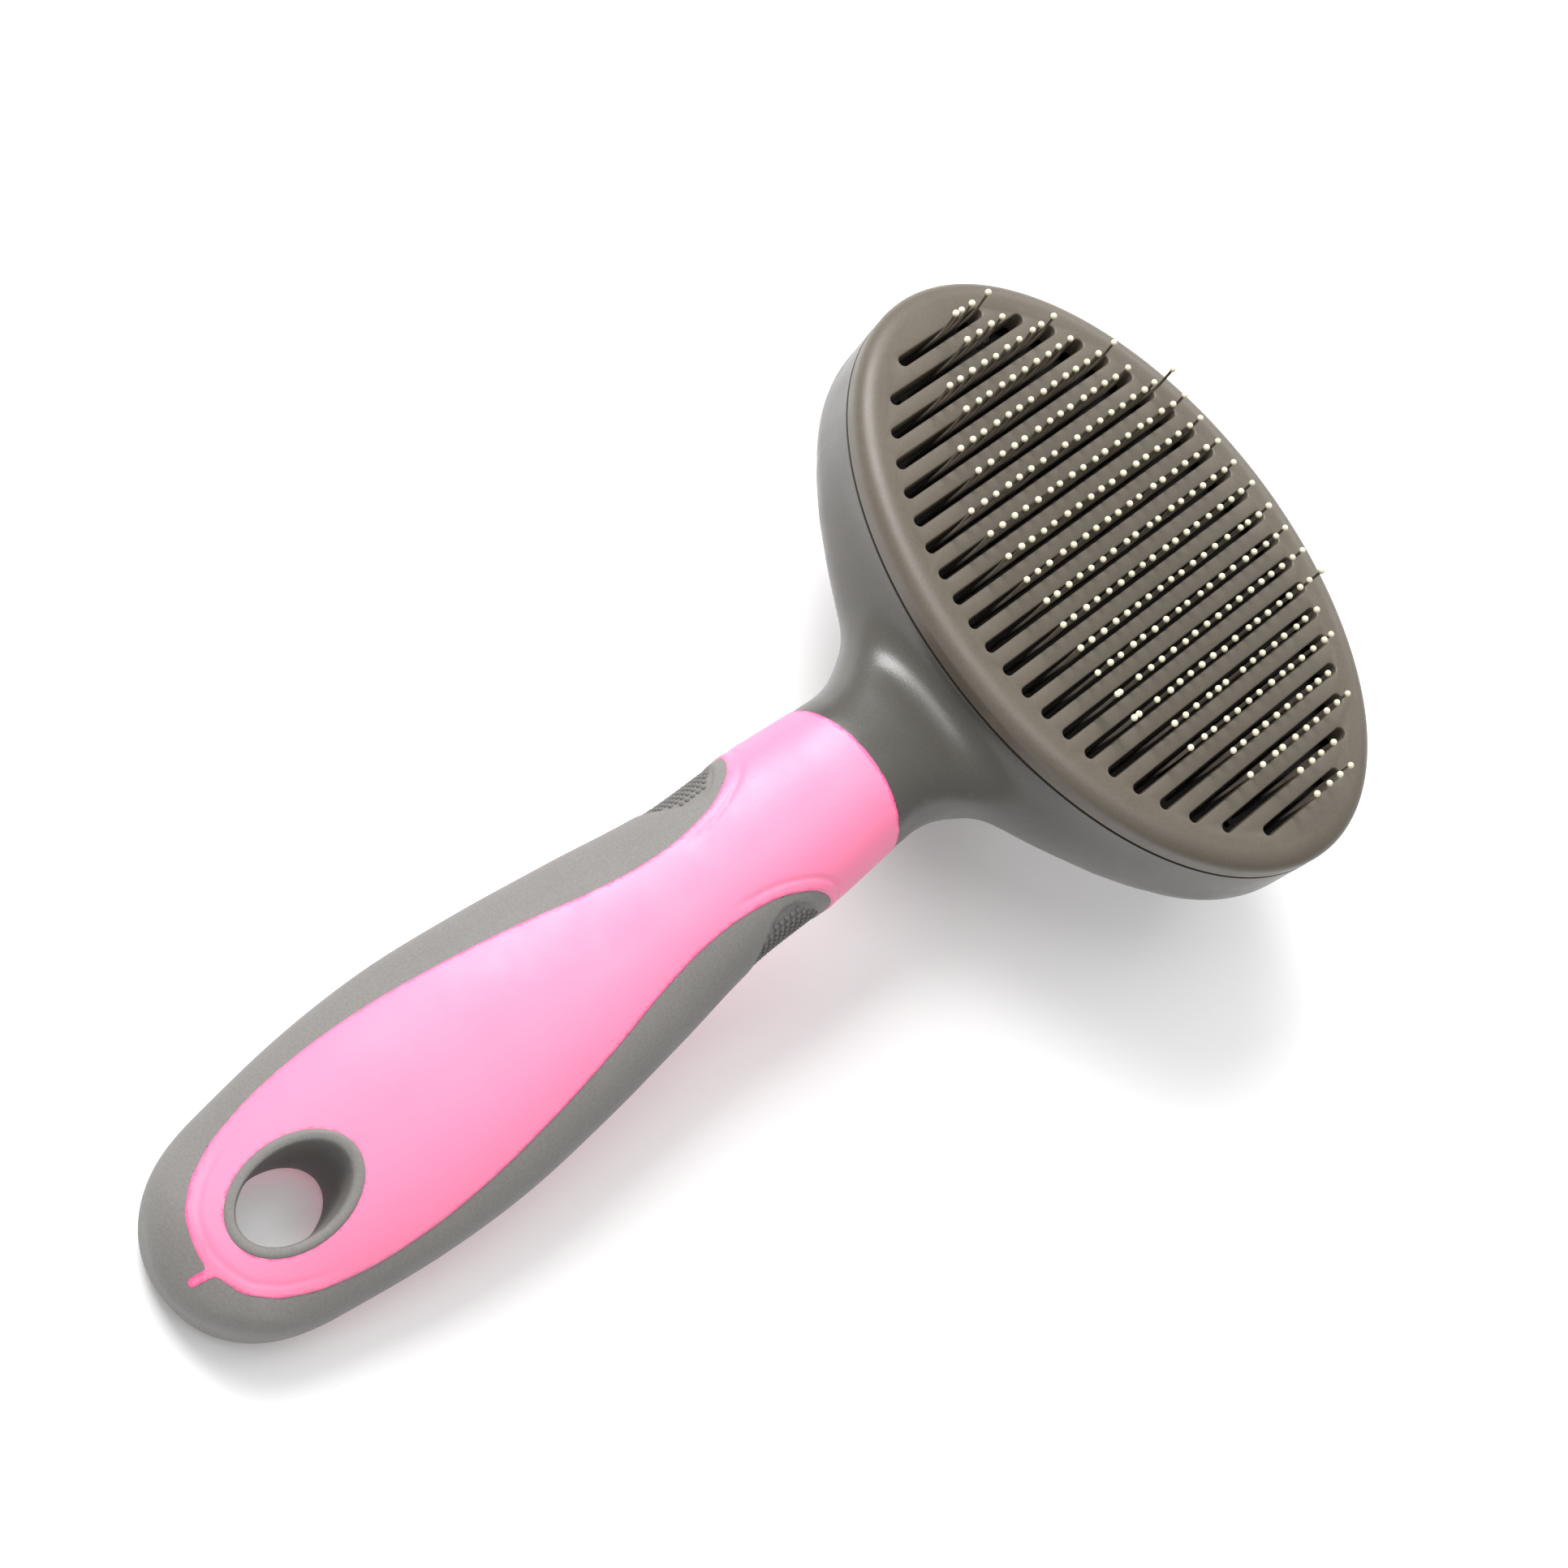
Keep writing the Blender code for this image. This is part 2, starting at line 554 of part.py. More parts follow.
def make_pin_row(row, material):
    """A strip with its wires, each leaning forward and then bent upright."""
    x, places = row_x(row), pin_places(row)
    strip_z = BASE_Z + BASE_THICKNESS + GAP
    root_z = strip_z + STRIP_HEIGHT / 2
    first, last = places[0] - PIN_LEAN - MM, places[-1] - PIN_LEAN + MM
    half = STRIP_WIDTH / 2
    bm = box(x - half, x + half, first, last, strip_z, strip_z + STRIP_HEIGHT)
    strip = add_object(f"pin_row_{row + 1:02d}", bm, PARTS, (x, HEAD_Y, strip_z))
    wires = bmesh.new()
    for tip_y in places:
        path = ((tip_y - PIN_LEAN, root_z), (tip_y + PIN_HOOK, PIN_KNEE_Z), (tip_y, TIP_Z))
        wire = loft([square(x, y, z) for y, z in path])
        mesh = bpy.data.meshes.new("wire")
        wire.to_mesh(mesh)
        wire.free()
        wires.from_mesh(mesh)
        bpy.data.meshes.remove(mesh)
    boolean(strip, add_object(f"wires_{row + 1:02d}", wires), "UNION")
    return finish(strip, material)


def square(x, y, z):
    half = WIRE / 2
    return [(x - half, y - half, z), (x + half, y - half, z),
            (x + half, y + half, z), (x - half, y + half, z)]


def make_screw(name, x, y, seat_z, length, material):
    """A small pan-head screw pointing down, with a cross recess in its head."""
    screw = add_object(name, oval(SCREW_HEAD_R, SCREW_HEAD_R, seat_z, seat_z + SCREW_HEAD_HEIGHT,
                                  x, y, sides=16, high=0.4 * MM, steps=1),
                       PARTS, (x, y, seat_z))
    shank = oval(SCREW_R, SCREW_R, seat_z - length, seat_z + 0.5 * MM, x, y, sides=12,
                 low=0.4 * MM, steps=1)
    boolean(screw, add_object(f"{name}_shank", shank), "UNION")
    top = seat_z + SCREW_HEAD_HEIGHT
    for n, (along, across) in enumerate((RECESS_HALF, RECESS_HALF[::-1])):
        cut = box(x - along, x + along, y - across, y + across, top - RECESS_DEPTH, top + MM)
        boolean(screw, add_object(f"{name}_recess_{n}", cut))
    return finish(screw, material)


def make_spring(material):
    """Compression spring from the plunger's inner floor up to the pin base."""
    low = SPRING_FLOOR_Z + GAP + SPRING_WIRE_R
    high = BASE_Z - GAP - SPRING_WIRE_R
    curve = bpy.data.curves.new("return_spring", "CURVE")
    curve.dimensions = "3D"
    curve.bevel_depth = SPRING_WIRE_R
    curve.bevel_resolution = 2
    curve.use_fill_caps = True
    count = SPRING_TURNS * SPRING_POINTS + 1
    spline = curve.splines.new("POLY")
    spline.points.add(count - 1)
    for k, point in enumerate(spline.points):
        angle = 2 * math.pi * k / SPRING_POINTS
        z = low + (high - low) * k / (count - 1)
        point.co = (SPRING_R * math.cos(angle), SPRING_R * math.sin(angle), z, 1.0)
    spring = bpy.data.objects.new("return_spring", curve)
    spring.location = (0, HEAD_Y, 0)
    PARTS.objects.link(spring)
    curve.materials.append(material)
    return spring


def main():
    plastic = make_material("head_plastic", PLASTIC_GREY, 0.36)
    plate = make_material("plate_plastic", PLATE_GREY, 0.40)
    sleeve = make_material("sleeve_rubber", PINK, 0.45)
    band = make_material("band_rubber", GRIP_GREY, 0.60)
    inner = make_material("inner_plastic", PLATE_GREY, 0.50)
    wire = make_material("pin_wire", WIRE_STEEL, 0.35, 1.0)
    steel = make_material("fastener_steel", STEEL, 0.30, 1.0)

    make_housing(plastic)
    make_handle(inner, sleeve, band)
    make_cap(plastic)
    make_plunger(plastic)
    make_pusher(inner)
    make_face_plate(plate)
    make_pin_base(inner)
    for row in range(ROW_COUNT):
        make_pin_row(row, wire)
    for n, (x, y) in enumerate(boss_places()):
        seat_z = BASE_Z + BASE_THICKNESS + GAP
        make_screw(f"base_screw_{n + 1}", x, y, seat_z, BASE_SCREW_LENGTH, steel)
    for n, side in enumerate((-1, 1)):
        seat_z = PUSHER_Z + PUSHER_THICKNESS - SCREW_HEAD_HEIGHT + GAP
        make_screw(f"pusher_screw_{n + 1}", side * PUSHER_SCREW_X, HEAD_Y, seat_z,
                   PUSHER_SCREW_LENGTH, steel)
    make_spring(steel)


main()
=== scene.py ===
"""Looks of the self-cleaning slicker brush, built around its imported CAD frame.

Row frame, metres: +Z is the way the pins point, +Y runs from the handle's end to the far side
of the head. The smooth moulded forms are skins over distance-like fields; those fields, and the
tables below, work in millimetres.
"""

import math
import random

import bmesh
import bpy
import numpy as np
from mathutils import Matrix, Vector


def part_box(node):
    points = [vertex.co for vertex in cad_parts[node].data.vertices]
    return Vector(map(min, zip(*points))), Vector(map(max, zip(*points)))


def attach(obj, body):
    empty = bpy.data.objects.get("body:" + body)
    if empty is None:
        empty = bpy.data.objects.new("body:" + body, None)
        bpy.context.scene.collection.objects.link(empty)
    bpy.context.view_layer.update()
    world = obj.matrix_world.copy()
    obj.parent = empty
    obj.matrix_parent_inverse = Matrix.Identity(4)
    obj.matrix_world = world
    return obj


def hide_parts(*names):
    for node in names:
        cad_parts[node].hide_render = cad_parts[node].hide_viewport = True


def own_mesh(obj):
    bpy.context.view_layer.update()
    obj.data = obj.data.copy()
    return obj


MM = 0.001
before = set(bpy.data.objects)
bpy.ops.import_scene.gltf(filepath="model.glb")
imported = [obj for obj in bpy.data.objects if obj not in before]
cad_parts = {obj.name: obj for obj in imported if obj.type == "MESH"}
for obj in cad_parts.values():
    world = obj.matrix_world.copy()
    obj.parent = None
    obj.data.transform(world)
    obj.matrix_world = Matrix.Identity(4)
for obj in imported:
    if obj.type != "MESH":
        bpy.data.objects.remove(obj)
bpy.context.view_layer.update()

# Places read from the CAD, in millimetres
HOUSING_LOW, HOUSING_HIGH = (np.array(corner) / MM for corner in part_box("head_housing"))
PLATE_LOW, PLATE_HIGH = (np.array(corner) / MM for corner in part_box("face_plate"))
ROW_LOW, ROW_HIGH = (np.array(corner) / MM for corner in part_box("pin_row_11"))
CAP_LOW, CAP_HIGH = (np.array(corner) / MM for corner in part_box("button_cap"))
BASE_LOW = np.array(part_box("pin_base")[0]) / MM
HEAD_A, HEAD_B = PLATE_HIGH[0], (PLATE_HIGH[1] - PLATE_LOW[1]) / 2
HEAD_Y = PLATE_HIGH[1] - HEAD_B
COLLAR_Z, RIM_Z = HOUSING_LOW[2], HOUSING_HIGH[2]
FACE_Z, TIP_Z = PLATE_HIGH[2], ROW_HIGH[2]

# Head, as in the CAD
BACK_Z = COLLAR_Z + 14.0
WALL, BACK_ROUND = 2.5, 10.0
FLOOR_Z = BACK_Z + WALL
COLLAR_TOP_R, COLLAR_BASE_R, COLLAR_LIP = 14.2, 15.2, 1.1
COLUMN_R, FLAT_Y, ROOM = 11.0, 8.2, 0.3
FLARE, FLARE_HEIGHT = 0.5, 0.7
BOSS_X, BOSS_Y, BOSS_R, BOSS_FOOT, PILOT_R = 42.0, 11.0, 2.8, 3.4, 1.3
NECK_END_Y, FERRULE_Y, FERRULE_BOW = 17.3, 17.0, 1.5
NECK_TABLE = (
    (10, 12.5, 44.9, 24.5), (17.3, 12.4, 45.8, 25.4), (21, 12.3, 45.8, 26.0),
    (25, 13.0, 45.6, 27.0), (29, 15.0, 45.0, 27.8), (33, 18.0, 44.5, 28.6),
    (37, 22.5, 44.0, 29.0), (42, 25.0, 43.6, 29.4),
)
NECK_FILLET, COLLAR_FILLET = 6.0, 0.9

# Face plate and pins, as in the CAD
SLOT_PITCH, SLOT_WIDTH, ROW_COUNT = 4.2, 1.7, 22
FIELD_A, FIELD_B = 46.5, 27.9
LEG_X, LEG_Y = 29.4, 9.0
# Half width and half depth of a leg above, through and below the pusher
LEG_ROOT, LEG_SHANK, LEG_FOOT = (0.95, 3.0), (0.8, 2.0), (0.8, 2.8)
PIN_LEAN, PIN_HOOK, KNEE_RISE = 4.6, 0.8, 2.0
PINS_IN_ROW = (4, 4, 10, 10, 14, 14, 18, 18, 18, 18, 18)
PIN_SPACING, PIN_SHIFT = 2.55, 0.95
WIRE_R, BALL_R = 0.22, 0.53
SPRING_WIRE_R, SPRING_TURNS = 0.4, 7
SPRING_BORE_R, SPRING_BORE_FOOT = 5.6, 12.0
WINDOW_HALF_X, WINDOW_HALF_Z, WINDOW_Z = 3.5, 1.0, 7.8
POCKET_HALF_X, POCKET_HALF_Y, POCKET_TOP = 5.0, 5.2, 10
PUSHER_SCREW_X, PUSHER_SCREW_DEPTH, FLANGE = 8.2, 8, 1.2

# Half width, half depth, foot and top of the button's boss, and of the barb that clips it in
CAP_BOSS, CAP_BARB = (4.6, 4.8, 4.8, 9.6), (3.2, 6.4, 7.2, 8.4)
CAP_TOP, CAP_DOT_ROWS, CAP_DOT_PITCH = 5.5, (3, 5, 6, 5, 6, 5, 3), 2.75
CAP_DOT_PROFILE = ((0.62, 0.7), (0.62, 0.48), (0.5, 0.26), (0.3, 0.14), (0.1, 0.1))

# Handle, as in the CAD
END_Y, AXIS_END_Z, TILT = -100.0, 6.95, 0.245
HANDLE_TABLE = (
    (60, 12.6, 10.4), (17, 12.6, 10.4), (4, 13.7, 10.8), (-10, 14.0, 11.0), (-25, 16.4, 11.2),
    (-40, 18.6, 11.2), (-54, 19.9, 10.9), (-68, 19.5, 10.3), (-82, 17.6, 9.4), (-100, 14.2, 8.2),
)
END_ROUND, EDGE_ROUND, END_FLATTENING, POWER = 16.0, 8.0, 0.8, 2.3
PLAN_MARGIN, PLAN_BLEND = 1.4, 2.4
SKIN = 2.1
PANEL_TABLE = (
    (4.5, 15.4), (2, 12.0), (-3, 8.9), (-10, 7.3), (-18, 7.3), (-26, 8.6), (-36, 11.0),
    (-48, 13.3), (-60, 14.8), (-70, 15.0), (-80, 13.8), (-87, 11.6), (-91.5, 8.7), (-94.0, 5.4),
    (-94.9, 2.6),
)
HOLE_Y, HOLE_A, HOLE_B, EYELET_WALL = -81.0, 5.9, 8.1, 1.75

# Details that only the looks have: the gate mark, the thumb pads and their dots
TAIL_X, TAIL_END, TAIL_R = 1.2, END_Y + 2.7, 0.7
TAIL_SLANT, TAIL_LENGTH, TAIL_BLEND = 0.2, 6, 0.8
PAD_Y, PAD_HALF, PAD_RISE, PAD_DEPTH = -5.0, 7.1, 8.4, 0.5
DOT_PITCH, DOT_MARGIN = 0.98, 0.9
DOT_PROFILE = ((0.39, -0.2), (0.38, 0.1), (0.33, 0.26), (0.2, 0.37), (0.05, 0.41))
GROOVE_IN, GROOVE_WIDTH = 1.6, 0.32
PAD_GROOVE_DEPTH, END_GROOVE_DEPTH = 0.18, 0.13
# The sleeve's neighbours run under its edge by TUCK, so that no gap shows at the joints
TUCK, LIP, BAND_INSET = 0.4, 0.16, 0.13
SOCKET_R, SOCKET_DEPTH = 6.8, 9.5

# A few wires that use has bent along their slot: row and place in it, and how far
SPLAYED = {(0, 0): 1.3, (0, 3): 0.7, (6, 17): 1.5, (14, 1): -1.5, (15, 1): -1.7, (16, 5): -1.3}
# Tips lean a little to -X, and never so far that a bead catches in its slot when pressed
SWAY_LIMIT = -0.28
PAIR_SHIFT, TIP_SCATTER, TIP_DROP, ROOT_SCATTER = 0.07, 0.13, 0.5, 0.04
BENT_SHARE, BENT_BY = 0.05, 0.7

# The skins' grid, and the room that holds the whole handle
SKIN_PITCH = 0.42
HANDLE_ROOM = (-21.5, END_Y - 1, -0.5), (21.5, FERRULE_Y + 2, 48)


# ---------------------------------------------------------------- meshes

def place(name, mesh, *materials):
    """Put a finished mesh in the scene, smooth-shaded but for its sharp edges."""
    thing = bpy.data.objects.new(name, mesh)
    bpy.context.scene.collection.objects.link(thing)
    mesh.materials.clear()
    for material in materials:
        mesh.materials.append(material)
    mesh.shade_smooth()
    mesh.set_sharp_from_angle(angle=math.radians(38))
    return thing


def mesh_from(points, faces, name="skin"):
    """Points in millimetres and their faces, as a mesh in metres."""
    mesh = bpy.data.meshes.new(name)
    mesh.from_pydata((np.asarray(points) * MM).tolist(), [], [list(map(int, f)) for f in faces])
    mesh.update()
    return mesh


def loft(rings, closed=False):
    """A tube through rings of equal count; its ends are capped, or joined if it is closed."""
    rings = np.asarray(rings, float)
    count, sides = rings.shape[:2]
    faces = []
    for i in range(count if closed else count - 1):
        j = (i + 1) % count
        for k in range(sides):
            m = (k + 1) % sides
            faces.append((i * sides + k, i * sides + m, j * sides + m, j * sides + k))
    if not closed:
        faces.append(tuple(reversed(range(sides))))
        faces.append(tuple((count - 1) * sides + k for k in range(sides)))
    return rings.reshape(-1, 3), faces


def joined(parts):
    """Several point and face lists as one."""
    points, faces, start = [], [], 0
    for some_points, some_faces in parts:
        points.append(np.asarray(some_points, float))
        faces += [tuple(k + start for k in face) for face in some_faces]
        start += len(some_points)
    return np.concatenate(points), faces


def facing_out(mesh):
    """The mesh, with its faces turned outwards."""
    bm = bmesh.new()
    bm.from_mesh(mesh)
    bmesh.ops.recalc_face_normals(bm, faces=bm.faces)
    bm.to_mesh(mesh)
    bm.free()
    return mesh


def box_mesh(low, high):
    """A box between two corners."""
    low, high = np.asarray(low, float), np.asarray(high, float)
    points = [[(low, high)[(n >> k) & 1][k] for k in range(3)] for n in range(8)]
    faces = [(0, 2, 3, 1), (4, 5, 7, 6), (0, 1, 5, 4), (2, 6, 7, 3), (0, 4, 6, 2), (1, 3, 7, 5)]
    return points, faces


def boolean(mesh, other, operation="DIFFERENCE"):
    """The solid mesh combined with another; both are closed."""
    thing = bpy.data.objects.new("solid", facing_out(mesh))
    tool = bpy.data.objects.new("tool", facing_out(other))
    for made in (thing, tool):
        bpy.context.scene.collection.objects.link(made)
    modifier = thing.modifiers.new("cut", "BOOLEAN")
    modifier.operation, modifier.solver, modifier.object = operation, "EXACT", tool
    bpy.context.view_layer.update()
    graph = bpy.context.evaluated_depsgraph_get()
    result = bpy.data.meshes.new_from_object(thing.evaluated_get(graph))
    for made in (thing, tool):
        bpy.data.objects.remove(made)
    return result


def ellipse_ring(a, b, z, sides):
    """A level oval ring round the head's middle."""
    angle = np.arange(sides) * 2 * math.pi / sides
    return np.stack([a * np.cos(angle), HEAD_Y + b * np.sin(angle), np.full(sides, z)], 1)


# ---------------------------------------------------------------- fields and their skins

def smooth_max(f, g, k):
    """The greater of two fields, with a round of about k where they cross."""
    h = np.maximum(k - np.abs(f - g), 0) / k
    return np.maximum(f, g) + h * h * k / 4


def smooth_min(f, g, k):
    return -smooth_max(-f, -g, k)


def slope_of(field, points, reach=0.02):
    """The field's slope at each point, from its change along X, Y and Z."""
    return np.stack([
        (field(*(points + reach * step).T) - field(*(points - reach * step).T)) / (2 * reach)
        for step in np.eye(3)
    ], 1)


def net(field, low, high, pitch=None):
    """A quad skin over a field's zero level, whose points sit on its creases (dual contouring)."""
    pitch = pitch or SKIN_PITCH
    low = np.asarray(low, float)
    steps = [int(math.ceil((b - a) / pitch)) + 1 for a, b in zip(low, high)]
    axes = [low[k] + pitch * np.arange(steps[k]) for k in range(3)]
    value = field(*np.meshgrid(*axes, indexing="ij"))
    # The box's sides count as outside, so that the skin closes there
    for k in range(3):
        for side in (0, -1):
            edge = [slice(None)] * 3
            edge[k] = side
            value[tuple(edge)] = np.maximum(value[tuple(edge)], 0.5 * pitch)
    inside = value < 0
    shape = np.array(value.shape)
    quads, crossings = [], []
    for axis in range(3):
        at = np.argwhere(np.diff(inside, axis=axis))
        step = np.eye(3, dtype=int)[axis]
        here, there = value[tuple(at.T)], value[tuple((at + step).T)]
        crossings.append(low + pitch * (at + (here / (here - there))[:, None] * step))
        u, v = (axis + 1) % 3, (axis + 2) % 3
        quad = []
        for du, dv in ((0, 0), (-1, 0), (-1, -1), (0, -1)):
            cell = at.copy()
            cell[:, u] += du
            cell[:, v] += dv
            quad.append((cell[:, 0] * shape[1] + cell[:, 1]) * shape[2] + cell[:, 2])
        quad = np.stack(quad, 1)
        flip = here > 0
        quad[flip] = quad[flip][:, ::-1]
        quads.append(quad)
    quads, crossings = np.concatenate(quads), np.concatenate(crossings)
    used, index = np.unique(quads.reshape(-1), return_inverse=True)
    quads = index.reshape(-1, 4)
    index = quads.T.reshape(-1)

    def per_cell(amount):
        return np.bincount(index, amount)

    normal = slope_of(field, crossings)
    normal /= np.maximum(np.linalg.norm(normal, axis=1), 1e-9)[:, None]
    normal, crossings = np.tile(normal, (4, 1)), np.tile(crossings, (4, 1))
    middle = np.stack([per_cell(crossings[:, k]) for k in range(3)], 1)
    middle /= np.bincount(index)[:, None]
    away = (normal * (crossings - middle[index])).sum(1)
    pull = np.stack([per_cell(away * normal[:, k]) for k in range(3)], 1)
    square = np.empty((len(used), 3, 3))
    for a in range(3):
        for b in range(3):
            square[:, a, b] = per_cell(normal[:, a] * normal[:, b])
    hold, margin = 0.06, 0.03
    square += hold * np.eye(3)
    points = middle + np.linalg.solve(square, pull[..., None])[..., 0]
    corner = low + pitch * np.stack([used // (shape[1] * shape[2]),
                                     used // shape[2] % shape[1], used % shape[2]], 1)
    points = np.clip(points, corner + margin * pitch, corner + (1 - margin) * pitch)
    return settle(points, field, pitch), quads


def settle(points, field, pitch, rounds=4):
    """Move points along the field's slope until they lie on its zero level."""
    for _ in range(rounds):
        slope = slope_of(field, points)
        size = np.maximum((slope**2).sum(1), 0.25)[:, None]
        move = -field(*points.T)[:, None] * slope / size
        size = np.linalg.norm(move, axis=1)[:, None]
        points = points + move * np.minimum(1, 0.25 * pitch / np.maximum(size, 1e-9))
    return points


def table(stations, column):
    """A table's column on a fine, smooth grid along Y, ready for np.interp."""
    rows = sorted(stations)
    ys = np.array([row[0] for row in rows], float)
    values = np.array([row[column] for row in rows], float)
    slopes = np.gradient(values, ys)
    fine = np.arange(ys[0], ys[-1] + 0.1, 0.2)
    i = np.clip(np.searchsorted(ys, fine, side="right") - 1, 0, len(ys) - 2)
    step = ys[i + 1] - ys[i]
    t = np.clip((fine - ys[i]) / step, 0, 1)
    curve = ((2 * t**3 - 3 * t**2 + 1) * values[i] + (t**3 - 2 * t**2 + t) * slopes[i] * step
             + (3 * t**2 - 2 * t**3) * values[i + 1] + (t**3 - t**2) * slopes[i + 1] * step)
    return fine, curve


HANDLE_W, HANDLE_T = table(HANDLE_TABLE, 1), table(HANDLE_TABLE, 2)
NECK_W, NECK_TOP, NECK_LOW = (table(NECK_TABLE, column) for column in (1, 2, 3))
PANEL_W = table(PANEL_TABLE, 1)


def section(x, z, w, t):
    """Distance-like value to a superellipse section of half width w and half thickness t."""
    s = ((np.abs(x) / w) ** POWER + (np.abs(z) / t) ** POWER) ** (1 / POWER)
    return (s - 1) * np.minimum(w, t)


def oval_field(x, y, a, b):
    """Distance-like value to an upright oval wall of half axes a and b."""
    k0 = np.sqrt((x / a) ** 2 + (y / b) ** 2)
    k1 = np.sqrt((x / a**2) ** 2 + (y / b**2) ** 2)
    k0 = np.maximum(k0, 1e-3)
    return k0 * (k0 - 1) / np.maximum(k1, k0 / a)


def rounded_floor(side, down, r):
    """An upright wall and a floor, joined by a round of radius r."""
    side, down = side + r, down + r
    return (np.minimum(np.maximum(side, down), 0)
            + np.hypot(np.maximum(side, 0), np.maximum(down, 0)) - r)


def handle_axis(y):
    """Height of the sloping handle's middle line."""
    return AXIS_END_Z + TILT * (y - END_Y)


def handle_field(x, y, z, inset=0.0):
    """The whole handle: a swelling section along its slope, with a rounded end."""
    end = END_Y + inset
    side = np.clip((end + EDGE_ROUND - y) / EDGE_ROUND, 0, 1.08)
    w = np.interp(y, *HANDLE_W) - inset
    t = (np.interp(y, *HANDLE_T) - inset) * np.sqrt(1 - END_FLATTENING * side**2)
    body = section(x, z - handle_axis(y), w, t)
    along = np.maximum(end + END_ROUND - y, 0) / END_ROUND
    plan = (np.hypot(x / (w + PLAN_MARGIN), along) - 1) * END_ROUND
    return smooth_max(body, plan, PLAN_BLEND)


def neck_field(x, y, z):
    """The neck between the handle and the bowl."""
    w = np.interp(y, *NECK_W)
    top, low = np.interp(y, *NECK_TOP), np.interp(y, *NECK_LOW)
    return section(x, z - (top + low) / 2, w, (top - low) / 2)


def ferrule_line(x, y):
    """How far a point is past the joint of sleeve and neck, which bows towards the head."""
    return y - (FERRULE_Y - FERRULE_BOW * (x / HANDLE_TABLE[0][1]) ** 2)


def panel_outline():
    """The coloured panel's plan outline, one closed line that takes in the whole ferrule."""
    ys, widths = PANEL_W
    beyond = 26
    right = np.stack([widths, ys], 1)[::-2]
    tip = [(1.4, ys[0] - 0.25), (0, ys[0] - 0.35)]
    right = np.concatenate([[(beyond, beyond), (beyond, ys[-1])], right, tip])
    return np.concatenate([right, (right * (-1, 1))[::-1][1:]])


OUTLINE = panel_outline()


def panel_grid(pitch=0.2):
    """Signed distance to the panel's outline on a plan grid: negative inside."""
    xs, ys = np.arange(-28, 28.01, pitch), np.arange(-104, 28.01, pitch)
    gx, gy = np.meshgrid(xs, ys, indexing="ij")
    best = np.full(gx.shape, 1e9)
    inside = np.zeros(gx.shape, bool)
    for (ax, ay), (bx, by) in zip(OUTLINE, np.roll(OUTLINE, -1, 0)):
        dx, dy = bx - ax, by - ay
        length = dx * dx + dy * dy
        if length < 1e-12:
            continue
        t = np.clip(((gx - ax) * dx + (gy - ay) * dy) / length, 0, 1)
        best = np.minimum(best, (gx - ax - t * dx) ** 2 + (gy - ay - t * dy) ** 2)
        if dy:
            crosses = ((gy < ay) != (gy < by)) & (gx < ax + (gy - ay) * dx / dy)
            inside ^= crosses
    distance = np.sqrt(best) * np.where(inside, -1, 1)
    return xs[0], ys[0], pitch, distance


GRID_X, GRID_Y, GRID_PITCH, GRID = panel_grid()


def panel_field(x, y):
    """Distance to the panel's outline, with the small gate mark joined on."""
    u = np.clip((x - GRID_X) / GRID_PITCH, 0, GRID.shape[0] - 1.001)
    v = np.clip((y - GRID_Y) / GRID_PITCH, 0, GRID.shape[1] - 1.001)
    i, j = u.astype(int), v.astype(int)
    s, t = u - i, v - j
    value = ((GRID[i, j] * (1 - s) + GRID[i + 1, j] * s) * (1 - t)
             + (GRID[i, j + 1] * (1 - s) + GRID[i + 1, j + 1] * s) * t)
    tail_y = np.clip(y, TAIL_END, TAIL_END + TAIL_LENGTH)
    tail = np.hypot(x - TAIL_X - TAIL_SLANT * (tail_y - TAIL_END), y - tail_y) - TAIL_R
    return smooth_min(value, tail, TAIL_BLEND)


def step_up(value, low, high):
    """0 below low and 1 above high, with a smooth rise between."""
    t = np.clip((value - low) / (high - low), 0, 1)
    return t * t * (3 - 2 * t)


def hole_field(x, y, grow=0.0):
    """The hang hole's wall, or one further out."""
    a, b = HOLE_A + grow, HOLE_B + grow
    return oval_field(x, y - HOLE_Y, a, b)


def pad_reach(y, z):
    """0 at the middle of a thumb pad, 1 at its rim, as seen from the side."""
    return np.hypot((y - PAD_Y) / PAD_HALF, (z - handle_axis(y)) / PAD_RISE)


def sleeve_field(x, y, z):
    """Pink rubber: the panel and ferrule, with a groove inside its edges and an open hole."""
    form = handle_field(x, y, z)
    edge = panel_field(x, y)
    groove = np.exp(-(((edge + GROOVE_IN) / GROOVE_WIDTH) ** 2))
    groove *= np.maximum(PAD_GROOVE_DEPTH * step_up(y, -13, -7) * step_up(10 - y, 0, 3),
                         END_GROOVE_DEPTH * step_up(-y, 80, 88))
    groove *= step_up(-edge, 0, 1.0) * step_up(hole_field(x, y, EYELET_WALL), 0.4, 1.2)
    form = form + groove
    form = smooth_max(form, edge, LIP)
    form = smooth_max(form, ferrule_line(x, y), LIP)
    form = smooth_max(form, -hole_field(x, y, EYELET_WALL - TUCK), LIP)
    return np.maximum(form, -handle_field(x, y, z, SKIN))


def band_form(x, y, z):
    """Grey rubber before its edge is cut, with a dish for each thumb pad."""
    pad = 1 - step_up(pad_reach(y, z), 0.90, 1.0)
    return handle_field(x, y, z) + BAND_INSET + PAD_DEPTH * pad


def band_field(x, y, z):
    form = band_form(x, y, z)
    form = smooth_max(form, -TUCK - panel_field(x, y), LIP)
    return np.maximum(form, -handle_field(x, y, z, SKIN))


